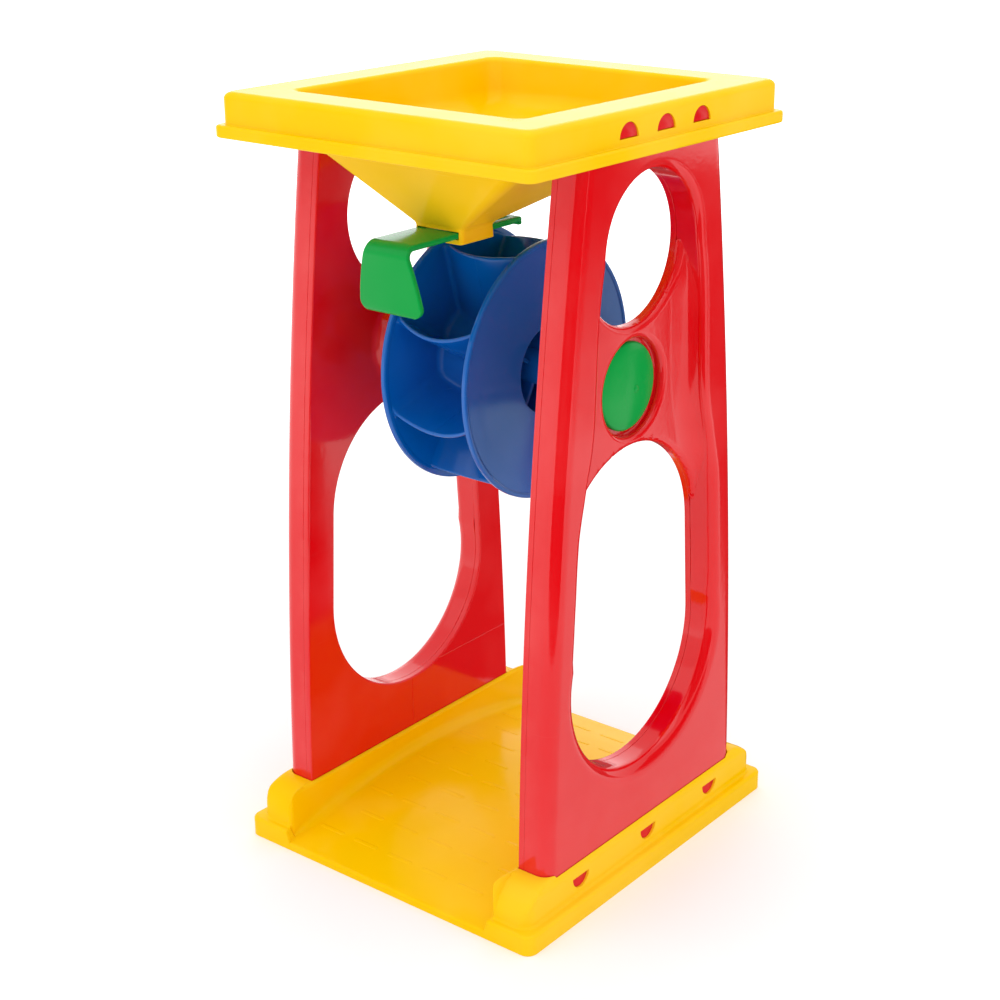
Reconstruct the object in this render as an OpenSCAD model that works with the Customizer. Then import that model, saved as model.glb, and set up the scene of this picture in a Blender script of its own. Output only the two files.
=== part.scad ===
// Sand wheel toy: a hopper feeds sand through a sliding gate onto a paddle
// wheel that turns on an axle between two frames standing on a base.
// Millimetres. Origin: centre of the base underside. X: along the axle,
// right frame at +X. Y: depth, gate handle towards -Y. Z: up.

/* [Overall] */
// Height of the hopper rim above the ground
total_h = 380; // [330:1:430]
// Distance between the inner faces of the two frames
frame_gap = 136; // [120:1:150]
// Gap left around snapped-together pieces
fit_gap = 0.25; // [0.15:0.05:0.4]
// Gap kept between pieces that move past each other
move_gap = 0.4; // [0.3:0.05:0.6]

/* [Base] */
// Depth of the base plinth
base_d = 204; // [190:1:220]
// Height of the plinth beside the rails
plinth_h = 10.4; // [8:0.2:13]
// Plan corner radius of the plinth
plinth_corner_r = 5; // [2:0.5:10]
// Width of the plinth step outside a rail
plinth_step = 4.8; // [3:0.2:7]
// Height of the rail tops
rail_h = 29; // [27:0.5:34]
// Rail wall thickness on the tray side of a frame
rail_wall_in = 1.8; // [1.2:0.1:2.6]
// Rail wall thickness on the outer side of a frame
rail_wall_out = 1.5; // [1.2:0.1:2.6]
// Distance from a rail end to the end of the plinth
rail_setback = 4; // [2:0.5:8]
// Radius of the rounded rail ends
rail_end_r = 17; // [10:0.5:20]
// Radius of the outer rail shoulder
rail_shoulder_r = 5.5; // [3:0.5:7]
// Radius of the inner rail shoulder
rail_inner_r = 1.2; // [0.5:0.1:1.6]
// Height of the arched tray in the middle
tray_crown = 16.5; // [13:0.5:20]
// Height of the tray at its front and back edges
tray_edge = 3.6; // [3.2:0.1:6]
// Wall thickness of the base moulding
base_wall = 2.4; // [1.8:0.1:3]
// Height of the ledges the frames stand on
ledge_h = 12; // [8:0.5:13]
// Distance of the inner ledges from the middle
ledge_in = 28; // [20:0.5:36]
// Distance of the outer ledges from the middle
ledge_out = 70; // [60:0.5:74]

/* [Frames] */
// Thickness of a frame, shell and cover together
frame_t = 17.8; // [15:0.2:20]
// Thickness of the inner cover plate
cover_t = 3.5; // [2.8:0.1:4.5]
// Half depth of a frame at the rail top
frame_foot_half = 80; // [74:0.5:86]
// Half depth of a frame under the hopper
frame_head_half = 52.8; // [48:0.2:58]
// Radius of the bowed sides
frame_side_r = 2840; // [1500:10:6000]
// Radius of the rounded outer edges
frame_edge_r = 7; // [5:0.5:9]
// Wall thickness of the frame shell
frame_wall = 2; // [1.4:0.1:2.6]
// Width of the web above the cap pocket
web_above = 6.2; // [4:0.1:9]
// Radius of the round upper opening
upper_r = 36.5; // [32:0.5:39]
// Width of the web below the cap pocket
web_below = 6.8; // [4:0.1:10]
// Radius of the upper circle of the large opening
lower_top_r = 53; // [46:0.5:55]
// Height of the bar between the rail top and the large opening
foot_bar = 28.5; // [22:0.5:36]
// Radius of the lower circle of the large opening
lower_bot_r = 58; // [52:0.5:60]
// Radius of the rolled edge round the openings
lip_r = 3.5; // [2:0.5:4.5]
// Half width of the recess between the openings
recess_half = 37; // [34:0.5:40]
// Depth of that recess below the outer face
recess_depth = 10.8; // [8:0.2:11.5]

/* [Axle] */
// Drop of the axle below the rim
axle_drop = 131.7; // [130:0.1:136]
// Diameter of the axle rod
axle_d = 10; // [8:0.1:12]
// Radial running clearance between wheel and axle
axle_clear = 0.06; // [0.04:0.01:0.1]
// Radius of the axle boss where it meets the cover
boss_r = 24; // [21:0.5:28]
// Radius of the boss at its small end
boss_tip_r = 11; // [9.5:0.5:13]
// Length of the conical part of the boss
boss_len = 26; // [20:0.5:34]
// Radius of the sleeve that carries on to the wheel
sleeve_r = 7.5; // [7:0.1:9]
// Radius of an axle cap
cap_r = 21.3; // [19:0.1:23]
// Thickness of an axle cap at its edge
cap_t = 1.6; // [1.2:0.1:2]
// Rise of the cap dome
cap_dome = 1.4; // [0.8:0.1:2]
// Depth of the cap pocket in the cover
cap_pocket = 1.8; // [1.2:0.1:2.2]
// Ring gap round the cap in its pocket
cap_ring = 2.2; // [1:0.1:3]
// Diameter of the pin that holds a cap in the axle end
cap_pin_d = 5; // [4:0.1:6]
// Length of that pin
cap_pin_len = 12; // [8:0.5:16]

/* [Wheel] */
// Radius of the wheel rims
wheel_r = 63; // [58:0.5:64]
// Width of the wheel over its rims
wheel_w = 52; // [46:0.5:60]
// Wall thickness of the wheel moulding
wheel_wall = 2; // [1.5:0.1:2.5]
// Radius of the wheel hub
hub_r = 23.5; // [20:0.5:26]
// Radius of the bearing tube
bearing_r = 8.5; // [7.5:0.1:10]
// Depth of the dish in the wheel sides
dish = 1.2; // [0.4:0.1:1.6]
// Radial width of the rim bead
bead_w = 2.2; // [1.5:0.1:3]
// Height of the rim bead above the wheel side
bead_h = 0.4; // [0.2:0.1:0.8]
// Number of paddles
paddle_n = 8; // [6:1:10]
// Angle of the first paddle above the front
paddle_start = 29; // [0:0.5:44]
// Radius of the paddle edge
paddle_r = 60; // [57:0.5:62]
// Depth of the cup that each paddle makes between the rims
paddle_cup = 7; // [3:0.5:8]
// Setback of the hub ribs from the wheel side
hub_rib_setback = 7; // [3:0.5:12]

/* [Hopper] */
// Wall thickness of the skirt beside a frame
skirt_wall = 1.95; // [1.2:0.05:2.6]
// Depth of the hopper lip
lip_d = 199.4; // [190:0.2:210]
// Height of the lip band
lip_h = 5.7; // [4:0.1:8]
// Overall height of the hopper skirt
skirt_h = 20.7; // [18:0.1:24]
// Step from the lip in to the skirt
lip_step = 1.8; // [1:0.1:3]
// Plan corner radius of the skirt
skirt_corner_r = 5; // [3:0.5:9]
// Radius of the rounded rim edge
rim_edge_r = 4; // [2:0.5:5]
// Wall thickness of the hopper
hopper_wall = 2; // [1.6:0.1:2.6]
// Gap between the well wall and a frame
well_gap = 1.5; // [0.8:0.1:5]
// Depth of the well mouth
well_d = 141.6; // [130:0.2:150]
// Depth of the steep well wall
well_h = 20; // [14:0.5:26]
// Inward draft of the well wall over that depth
well_draft = 4.3; // [2:0.1:7]
// Width of the spout over its walls
spout_w = 28.4; // [28.2:0.1:32]
// Depth of the spout over its walls
spout_d = 23.4; // [20:0.2:28]
// Distance of the spout in front of the axle
spout_front = 37.9; // [34:0.1:42]
// Drop of the spout top below the rim
spout_drop = 57.4; // [52:0.1:57.6]
// Height of the straight spout
spout_h = 7; // [6.4:0.1:8]

/* [Gate] */
// Width of the ledges that carry the gate plate
gate_ledge = 2; // [1:0.1:3]
// Width of the gate plate
gate_w = 24; // [20:0.5:24.5]
// Thickness of the gate plate
gate_t = 2.8; // [2.2:0.1:3]
// Drop of the gate plate below the spout top
gate_drop = 1.6; // [1.2:0.1:1.8]
// Distance of the handle face in front of the axle
handle_front = 86.5; // [82:0.5:92]
// Thickness of the handle
handle_t = 2.8; // [2:0.1:3.4]
// Width of the handle at its lower end
handle_w = 35; // [28:0.5:40]
// Drop of the handle below the gate plate top
handle_drop = 32.5; // [24:0.5:34]
// Bulge of the rounded lower handle edge
handle_bulge = 2.6; // [1:0.2:5]
// Radius of the bend between plate and handle
bend_r = 4; // [3.6:0.1:6]
// Distance of the tail end in front of the axle
tail_front = 3.5; // [1:0.5:6]
// Drop of the stop edge at the tail
stop_drop = 1; // [0.8:0.1:1.4]
// Thickness of that stop edge
stop_t = 2.4; // [1.6:0.1:3]
// Width of the bar between the port and the stop edge
port_bar = 2; // [1.5:0.1:3]
// Length of the port that lets the sand through
port_l = 16.8; // [12:0.2:17.2]
// Width of the port
port_w = 17; // [12:0.5:19]

/* [Snap tabs] */
// Radius of the half-round tabs
tab_r = 6.2; // [5:0.1:6.6]
// Spacing of the tabs in the hopper skirt
tab_pitch_top = 28; // [22:0.5:32]
// Spacing of the tabs in the base rails
tab_pitch_base = 56; // [48:0.5:60]
// Drop of the upper tab flats below the rim
tab_top_drop = 12; // [11.5:0.1:13]
// Height of the lower tab flats, which face up
tab_base_z = 20.8; // [20:0.1:21.4]
// Projection of a tab beyond the frame face
tab_out = 1.2; // [0.8:0.1:1.4]

/* [Hidden] */
lip_bevel = 0.6;
side_sink = 0.05;
$fn = 96;
hull_fn = 32;
eps = 0.01;
over = 1;
paddle_sink = 1.7;
through = 30;
red = [0.85, 0.10, 0.12];
yellow = [0.98, 0.78, 0.05];
green = [0.05, 0.60, 0.30];
blue = [0.03, 0.32, 0.62];

// Frame planes and outline
axle_z = total_h - axle_drop;
face_in = frame_gap / 2;
face_out = face_in + frame_t;
seam_x = face_in + cover_t;
web_x = face_out - recess_depth;
frame_bottom = ledge_h;
frame_top = total_h - hopper_wall;
head_z = total_h - skirt_h;
side_steps = 16;
side_dy = frame_head_half - frame_foot_half;
side_dz = head_z - rail_h;
side_chord = sqrt(side_dy * side_dy + side_dz * side_dz);
side_sag = sqrt(frame_side_r * frame_side_r - side_chord * side_chord / 4);
side_cy = (frame_foot_half + frame_head_half) / 2 - side_dz / side_chord * side_sag;
side_cz = (rail_h + head_z) / 2 + side_dy / side_chord * side_sag;
function frame_half(z) = side_cy
    + sqrt(frame_side_r * frame_side_r - (z - side_cz) * (z - side_cz));
function step_z(i, cut) = frame_bottom + cut + (frame_top - frame_bottom - 2 * cut) * i / side_steps;
edge_angles = [0, 22.5, 45, 67.5, 90];
function edge_x(a) = face_out - frame_edge_r * (1 - sin(a));
pocket_r = cap_r + cap_ring;
upper_z = axle_z + pocket_r + web_above + upper_r;
lower_top_z = axle_z - pocket_r - web_below - lower_top_r;
lower_bot_z = rail_h + foot_bar + lower_bot_r;
side_rise = lower_top_z - lower_bot_z;
side_lean = atan2(lower_bot_r - lower_top_r, side_rise);

// Rails and plinth
rail_in = face_in - fit_gap - rail_wall_in;
rail_out = face_out + fit_gap + rail_wall_out;
base_w = 2 * (rail_out + plinth_step);
rail_half_l = base_d / 2 - rail_setback;
tray_r = (base_d * base_d / 4 + (tray_crown - tray_edge) * (tray_crown - tray_edge))
    / (2 * (tray_crown - tray_edge));
ledge_y = [-ledge_out, -ledge_in, ledge_in, ledge_out];

// Axle line
axle_r = axle_d / 2;
cap_floor = seam_x - cap_pocket;
sleeve_end = wheel_w / 2 + move_gap;

// Wheel
flange_x = wheel_w / 2 - bead_h;
paddle_x = flange_x - wheel_wall;
paddle_root_r = hub_r - paddle_sink;
cup_r = (paddle_x * paddle_x + paddle_cup * paddle_cup) / (2 * paddle_cup);
dish_r = (hub_r + wheel_r) / 2;

// Hopper
skirt_w = 2 * (face_out + fit_gap + skirt_wall);
lip_w = skirt_w + 2 * lip_step;
well_w = frame_gap - 2 * (well_gap + hopper_wall);
spout_top_z = total_h - spout_drop;
spout_bottom_z = spout_top_z - spout_h;
gate_top_z = spout_top_z - gate_drop;
skirt_d = lip_d - 2 * lip_step;
shoulder_z = total_h - well_h;
mouth_flare = over * well_draft / well_h;
floor_w = well_w - 2 * well_draft;
floor_d = well_d - 2 * well_draft;
throat_w = gate_w - 2 * gate_ledge;
throat_d = spout_d - 2 * hopper_wall;

// Gate
tail_y = -tail_front;
handle_y = -handle_front;
port_y = tail_y - stop_t - port_bar;
handle_low_z = gate_top_z - handle_drop;
handle_arc_r = (handle_w * handle_w / 4 + handle_bulge * handle_bulge) / (2 * handle_bulge);

// Tabs
tab_top_z = total_h - tab_top_drop;

// Extrudes a (Y, Z) outline between two X planes
module along_x(x0, x1) {
    translate([x0, 0, 0])
        rotate([90, 0, 90])
            linear_extrude(x1 - x0)
                children();
}

// Extrudes an (X, Z) outline between two Y planes
module along_y(y0, y1) {
    translate([0, y1, 0])
        rotate([90, 0, 0])
            linear_extrude(y1 - y0)
                children();
}

// Revolves a (radius, X) outline about the axle line
module about_axle() {
    translate([0, 0, axle_z])
        rotate([0, 90, 0])
            rotate_extrude()
                children();
}

// A round bar on the axle line between two X planes
module axle_bar(r, x0, x1) {
    translate([x0, 0, axle_z])
        rotate([0, 90, 0])
            cylinder(r = r, h = x1 - x0);
}

// Rectangle with round corners, centred
module round_rect(w, d, r) {
    square([w - 2 * r, d], center = true);
    square([w, d - 2 * r], center = true);
    for (sx = [-1, 1], sy = [-1, 1])
        translate([sx * (w / 2 - r), sy * (d / 2 - r)])
            circle(r);
}

// Half-round outline standing on its flat side
module half_round(r) {
    intersection() {
        circle(r);
        translate([-r, 0])
            square([2 * r, r]);
    }
}

// Frame outline with its bowed sides moved in by an inset and its ends by a cut
module frame_outline(inset, cut) {
    right = [for (i = [0:side_steps]) [frame_half(step_z(i, cut)) - inset, step_z(i, cut)]];
    left = [for (i = [side_steps:-1:0]) [inset - frame_half(step_z(i, cut)), step_z(i, cut)]];
    polygon(concat(right, left));
}

// Both openings of a frame, grown by a margin
module openings(grow) {
    translate([0, upper_z])
        circle(upper_r + grow);
    translate([0, lower_top_z])
        circle(lower_top_r + grow);
    translate([0, lower_bot_z])
        circle(lower_bot_r + grow);
    top_y = lower_top_r + grow - side_sink;
    bot_y = lower_bot_r + grow - side_sink;
    polygon([[-bot_y, lower_bot_z], [bot_y, lower_bot_z], [top_y, lower_top_z], [-top_y, lower_top_z]]);
}

// Recess between the two openings, grown by a margin
module recess(grow) {
    translate([-recess_half - grow, lower_top_z])
        square([2 * (recess_half + grow), upper_z - lower_top_z]);
}

// Section of the cutter that rolls an edge over
module roll_section() {
    difference() {
        translate([-eps, -lip_r])
            square([lip_r + eps, lip_r + through]);
        translate([lip_r, -lip_r])
            circle(lip_r);
    }
}

// Rolled edge round a circular part of an opening
module roll_round(z, r) {
    translate([face_out, 0, z])
        rotate([0, 90, 0])
            rotate_extrude()
                translate([r, 0])
                    roll_section();
}

// Bevelled edge along a straight side of the large opening
module side_bevel() {
    run = norm([side_rise, lower_bot_r - lower_top_r]);
    cut = lip_r * lip_bevel;
    translate([face_out, lower_bot_r, lower_bot_z])
        rotate([side_lean, 0, 0])
            rotate([0, 0, 90])
                linear_extrude(run)
                    polygon([[-over, cut + over], [cut + over, -over], [-over, -over]]);
}

// Half-round tabs that snap into the hopper and the base
module frame_tabs(grow, x0, x1) {
    along_x(x0, x1) {
        for (i = [-1:1]) {
            translate([i * tab_pitch_top, tab_top_z - grow])
                half_round(tab_r + grow);
            translate([i * tab_pitch_base, tab_base_z + grow])
                mirror([0, 1])
                    half_round(tab_r + grow);
        }
    }
}

// Outer moulding of the right-hand frame
module frame_shell() {
    difference() {
        hull()
            for (a = edge_angles)
                along_x(seam_x, edge_x(a))
                    frame_outline(frame_edge_r * (1 - cos(a)), 0);
        difference() {
            hull() {
                along_x(seam_x - over, face_out - frame_edge_r)
                    frame_outline(frame_wall, frame_wall);
                along_x(seam_x - over, face_out - frame_wall)
                    frame_outline(frame_edge_r - frame_wall, frame_wall);
            }
            along_x(seam_x - 2 * over, face_out) {
                openings(frame_wall);
                recess(frame_wall);
            }
        }
        along_x(seam_x - over, face_out + over)
            openings(0);
        along_x(web_x, face_out + over)
            recess(0);
        axle_bar(pocket_r, seam_x - over, face_out + over);
        roll_round(upper_z, upper_r);
        roll_round(lower_top_z, lower_top_r);
        roll_round(lower_bot_z, lower_bot_r);
        side_bevel();
        mirror([0, 1, 0])
            side_bevel();
    }
    frame_tabs(0, face_out - frame_wall / 2, face_out + tab_out);
}

// Inner cover of the right-hand frame with the axle boss
module frame_cover() {
    difference() {
        union() {
            along_x(face_in, seam_x)
                frame_outline(0, 0);
            translate([face_in - boss_len, 0, axle_z])
                rotate([0, 90, 0])
                    cylinder(r1 = boss_tip_r, r2 = boss_r, h = boss_len);
            axle_bar(sleeve_r, sleeve_end, face_in);
        }
        along_x(face_in - over, seam_x + over)
            openings(0);
        axle_bar(pocket_r, cap_floor, seam_x + over);
        axle_bar(axle_r, 0, seam_x + over);
    }
}

module left_frame_shell() {
    color(red)
        mirror([1, 0, 0])
            frame_shell();
}

module left_frame_cover() {
    color(red)
        mirror([1, 0, 0])
            frame_cover();
}

module right_frame_shell() {
    color(red)
        frame_shell();
}

module right_frame_cover() {
    color(red)
        frame_cover();
}

// Axle rod with a blind hole in each end for the cap pins
module axle() {
    color(green)
        difference() {
            axle_bar(axle_r, -cap_floor, cap_floor);
            axle_bar(cap_pin_d / 2, cap_floor - cap_pin_len, cap_floor + over);
            axle_bar(cap_pin_d / 2, -cap_floor - over, cap_pin_len - cap_floor);
        }
}

// Domed cap that closes the right-hand end of the axle
module axle_cap() {
    dome_r = (cap_r * cap_r + cap_dome * cap_dome) / (2 * cap_dome);
    about_axle()
        intersection() {
            translate([0, cap_floor + cap_t + cap_dome - dome_r])
                circle(dome_r, $fn = 720);
            translate([0, cap_floor])
                square([cap_r, cap_t + cap_dome + over]);
        }
    axle_bar(cap_pin_d / 2, cap_floor - cap_pin_len, cap_floor + cap_t / 2);
}

module left_axle_cap() {
    color(green)
        mirror([1, 0, 0])
            axle_cap();
}

module right_axle_cap() {
    color(green)
        axle_cap();
}

// Side plate and hub of a wheel half
module wheel_side() {
    about_axle() {
        polygon([
            [hub_r - wheel_wall, flange_x],
            [dish_r, flange_x - dish],
            [wheel_r - bead_w / 2, flange_x],
            [wheel_r - bead_w / 2, flange_x - wheel_wall],
            [dish_r, flange_x - dish - wheel_wall],
            [hub_r - wheel_wall, flange_x - wheel_wall]]);
        translate([wheel_r - bead_w, wheel_w / 2 - wheel_wall - over])
            square([bead_w, wheel_wall + over]);
        translate([hub_r - wheel_wall, 0])
            square([wheel_wall, flange_x]);
        translate([axle_r + axle_clear, 0])
            square([bearing_r - axle_r - axle_clear, wheel_w / 2]);
    }
}

// One half paddle, reaching towards -Y: a cup that sags towards -Z in the middle
module half_paddle() {
    rotate([90, 0, 0])
        translate([0, 0, paddle_root_r])
            linear_extrude(paddle_r - paddle_root_r)
                intersection() {
                    translate([0, cup_r - paddle_cup])
                        difference() {
                            circle(cup_r + wheel_wall / 2, $fn = 240);
                            circle(cup_r - wheel_wall / 2, $fn = 240);
                        }
                    translate([0, -paddle_cup - wheel_wall])
                        square([paddle_x, paddle_cup + 2 * wheel_wall]);
                }
}

// Right-hand half of the wheel, split at its middle plane
module wheel_half() {
    wheel_side();
    translate([0, 0, axle_z]) {
        for (i = [0:paddle_n - 1])
            rotate([-paddle_start - i * 360 / paddle_n, 0, 0])
                half_paddle();
        for (i = [0:3])
            rotate([-paddle_start - i * 90, 0, 0])
                translate([0, wheel_wall / 2 - hub_r, -wheel_wall / 2])
                    cube([wheel_w / 2 - hub_rib_setback, hub_r - bearing_r, wheel_wall]);
    }
}

module wheel_left_half() {
    color(blue)
        mirror([1, 0, 0])
            wheel_half();
}

module wheel_right_half() {
    color(blue)
        wheel_half();
}

// Outer shape of a rail, rounded at its ends and shoulders
module rail_block() {
    intersection() {
        along_y(-base_d / 2, base_d / 2) {
            translate([rail_in, 0])
                square([rail_out - rail_in, rail_h - rail_shoulder_r]);
            translate([rail_in + rail_inner_r, 0])
                square([rail_out - rail_in - rail_inner_r - rail_shoulder_r, rail_h]);
            translate([rail_out - rail_shoulder_r, rail_h - rail_shoulder_r])
                circle(rail_shoulder_r);
            translate([rail_in + rail_inner_r, rail_h - rail_inner_r])
                circle(rail_inner_r);
            translate([rail_in, 0])
                square([rail_inner_r + eps, rail_h - rail_inner_r]);
        }
        along_x(rail_in - over, rail_out + over)
            rail_profile(rail_half_l, rail_h, rail_end_r);
    }
}

// Long profile of a rail with round upper ends
module rail_profile(half_l, h, r) {
    translate([-half_l, -over])
        square([2 * half_l, h - r + over]);
    translate([r - half_l, -over])
        square([2 * (half_l - r), h + over]);
    for (s = [-1, 1])
        translate([s * (half_l - r), h - r])
            circle(r);
}

// Arched solid under the tray surface lowered by a drop
module tray_solid(half_w, half_d, drop, low) {
    intersection() {
        along_x(-half_w, half_w)
            translate([0, tray_crown - drop - tray_r])
                circle(tray_r, $fn = 720);
        translate([-half_w, -half_d, low])
            cube([2 * half_w, 2 * half_d, tray_crown - low]);
    }
}

// Socket for a frame foot, open at the rail top
module frame_socket() {
    sock_in = face_in - fit_gap;
    sock_out = face_out + fit_gap;
    sock_half = frame_half(ledge_h) + fit_gap;
    translate([0, 0, ledge_h])
        linear_extrude(rail_h) {
            translate([sock_in, -sock_half])
                square([sock_out - sock_in - frame_edge_r, 2 * sock_half]);
            translate([sock_in, frame_edge_r - sock_half])
                square([sock_out - sock_in, 2 * (sock_half - frame_edge_r)]);
            for (s = [-1, 1])
                translate([sock_out - frame_edge_r, s * (sock_half - frame_edge_r)])
                    circle(frame_edge_r);
        }
}

// Hollow under a rail and its plinth strip
module rail_hollow() {
    translate([0, 0, -over])
        linear_extrude(plinth_h - base_wall + over)
            intersection() {
                round_rect(base_w - 2 * base_wall, base_d - 2 * base_wall, plinth_corner_r - base_wall);
                translate([rail_in + rail_wall_in, -base_d / 2])
                    square([plinth_step + rail_out - rail_in, base_d]);
            }
    along_x(rail_in + rail_wall_in, rail_out - rail_wall_out)
        rail_profile(rail_half_l - base_wall, rail_h - rail_shoulder_r - eps, rail_end_r - base_wall);
}

// Base moulding: plinth, two rails and the arched tray between them
module base() {
    color(yellow) {
        difference() {
            union() {
                linear_extrude(plinth_h)
                    difference() {
                        round_rect(base_w, base_d, plinth_corner_r);
                        square([2 * rail_in, base_d + over], center = true);
                    }
                for (s = [0, 1])
                    mirror([s, 0, 0])
                        rail_block();
                tray_solid(rail_in + eps, base_d / 2, 0, 0);
            }
            tray_solid(rail_in, base_d / 2 - base_wall, base_wall, -over);
            for (s = [0, 1])
                mirror([s, 0, 0]) {
                    rail_hollow();
                    frame_socket();
                    frame_tabs(fit_gap, face_out - over, rail_out + over);
                }
        }
        for (s = [0, 1])
            mirror([s, 0, 0])
                for (y = ledge_y)
                    translate([face_in - fit_gap - eps, y - base_wall / 2, 0])
                        cube([frame_t + 2 * fit_gap + 2 * eps, base_wall, ledge_h]);
    }
}

// Thin rectangular slab used to bound the sloping hopper walls
module slab(w, d, z, y) {
    translate([-w / 2, y - d / 2, z])
        cube([w, d, eps]);
}

// Steep well and sloping funnel with their walls
module well_solid() {
    hull() {
        slab(well_w + 2 * hopper_wall, well_d + 2 * hopper_wall, total_h - eps, 0);
        slab(floor_w + 2 * hopper_wall, floor_d + 2 * hopper_wall, shoulder_z - hopper_wall, 0);
    }
    hull() {
        slab(floor_w + 2 * hopper_wall, floor_d + 2 * hopper_wall, shoulder_z - hopper_wall, 0);
        slab(spout_w, spout_d, spout_top_z - eps, -spout_front);
    }
}

// Space inside the well and funnel
module well_hollow() {
    hull() {
        slab(well_w + 2 * mouth_flare, well_d + 2 * mouth_flare, total_h + over, 0);
        slab(floor_w, floor_d, shoulder_z, 0);
    }
    hull() {
        slab(floor_w, floor_d, shoulder_z, 0);
        slab(throat_w, throat_d, spout_top_z, -spout_front);
    }
}

// Thin slice of the skirt outline near the rim
module rim_slice(inset, drop) {
    translate([0, 0, total_h - drop - eps])
        linear_extrude(eps)
            round_rect(skirt_w - 2 * inset, skirt_d - 2 * inset, skirt_corner_r, $fn = hull_fn);
}

// Hopper moulding: rim, skirt, well, funnel and spout
module hopper() {
    color(yellow)
        difference() {
            union() {
                difference() {
                    union() {
                        translate([0, 0, head_z])
                            linear_extrude(lip_h)
                                round_rect(lip_w, lip_d, skirt_corner_r);
                        hull() {
                            translate([0, 0, head_z])
                                linear_extrude(skirt_h - rim_edge_r)
                                    round_rect(skirt_w, skirt_d, skirt_corner_r, $fn = hull_fn);
                            for (a = [30, 60, 90])
                                rim_slice(rim_edge_r * (1 - cos(a)), rim_edge_r * (1 - sin(a)));
                        }
                    }
                    translate([0, 0, head_z - over])
                        linear_extrude(skirt_h - hopper_wall + over)
                            round_rect(2 * (face_out + fit_gap), skirt_d - 2 * hopper_wall,
                                skirt_corner_r - hopper_wall);
                }
                well_solid();
                translate([-spout_w / 2, -spout_front - spout_d / 2, spout_bottom_z])
                    cube([spout_w, spout_d, spout_top_z - spout_bottom_z + eps]);
            }
            well_hollow();
            translate([-throat_w / 2, -spout_front - throat_d / 2, spout_bottom_z - over])
                cube([throat_w, throat_d, spout_top_z - spout_bottom_z + 2 * over]);
            translate([-gate_w / 2 - move_gap, -spout_front - spout_d, gate_top_z - gate_t - move_gap])
                cube([gate_w + 2 * move_gap, 2 * spout_d, gate_t + 2 * move_gap]);
            for (s = [0, 1])
                mirror([s, 0, 0])
                    frame_tabs(fit_gap, face_out - over, lip_w);
        }
}

// Gate plate with its port, stop edge and turned-down handle
module slide_gate() {
    color(green)
        difference() {
            union() {
                translate([-gate_w / 2, handle_y, gate_top_z - gate_t])
                    cube([gate_w, tail_y - handle_y, gate_t]);
                translate([-gate_w / 2, tail_y - stop_t, gate_top_z - gate_t - stop_drop])
                    cube([gate_w, stop_t, stop_drop + gate_t / 2]);
                along_y(handle_y, handle_y + handle_t)
                    gate_handle();
            }
            translate([-port_w / 2, port_y - port_l, gate_top_z - gate_t - over])
                cube([port_w, port_l, gate_t + 2 * over]);
            along_x(-handle_w, handle_w)
                translate([handle_y + bend_r, gate_top_z - bend_r])
                    difference() {
                        translate([-bend_r - over, 0])
                            square(bend_r + over);
                        circle(bend_r);
                    }
        }
}

// Flared handle outline with its rounded lower edge
module gate_handle() {
    intersection() {
        polygon([
            [-gate_w / 2, gate_top_z],
            [gate_w / 2, gate_top_z],
            [gate_w / 2, gate_top_z - bend_r],
            [handle_w / 2, handle_low_z + handle_bulge],
            [handle_w / 2, handle_low_z],
            [-handle_w / 2, handle_low_z],
            [-handle_w / 2, handle_low_z + handle_bulge],
            [-gate_w / 2, gate_top_z - bend_r]]);
        translate([0, handle_low_z + handle_arc_r])
            circle(handle_arc_r, $fn = 240);
    }
}

base();
left_frame_shell();
left_frame_cover();
right_frame_shell();
right_frame_cover();
hopper();
slide_gate();
axle();
left_axle_cap();
right_axle_cap();
wheel_left_half();
wheel_right_half();
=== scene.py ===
# %% [markdown]
# # A sand and water mill, piece by piece
# You pour sand into a yellow hopper, pull the green gate, and the stream turns a blue paddle wheel
# held between two red frames on a yellow tray. All of it is injection moulded plastic, so almost
# every edge is a small radius. We rebuild each moulding from its section curves, because a curve
# that is swept or revolved keeps those radii clean, and clean radii are what makes plastic shine.

# %% Tools and the packed model
import math

import bmesh
import bpy
import numpy as np
from mathutils import Matrix, Vector
from mathutils.geometry import delaunay_2d_cdt


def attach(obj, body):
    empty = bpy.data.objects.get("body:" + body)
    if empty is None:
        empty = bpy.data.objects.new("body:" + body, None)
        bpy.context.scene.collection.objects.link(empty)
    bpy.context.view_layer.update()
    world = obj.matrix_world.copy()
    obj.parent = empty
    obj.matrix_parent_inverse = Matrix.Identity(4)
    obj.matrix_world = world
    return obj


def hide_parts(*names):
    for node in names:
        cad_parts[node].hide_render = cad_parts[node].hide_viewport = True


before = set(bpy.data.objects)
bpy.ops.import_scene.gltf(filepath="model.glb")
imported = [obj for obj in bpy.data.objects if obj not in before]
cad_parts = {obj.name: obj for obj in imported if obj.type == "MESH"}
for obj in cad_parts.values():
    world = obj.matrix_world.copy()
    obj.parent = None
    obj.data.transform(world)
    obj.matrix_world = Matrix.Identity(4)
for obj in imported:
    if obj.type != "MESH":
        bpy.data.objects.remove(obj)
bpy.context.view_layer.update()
MM = 0.001
print("packed nodes:", sorted(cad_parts))

# %% [markdown]
# ## Sizes
# These are the sizes of the real mouldings in millimetres, the same ones the solid model was drawn
# with. X runs along the axle, Y goes back from the gate handle, Z is up. Keeping them in one place
# means that a frame, its cover and its snap tabs can never drift apart.

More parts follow.
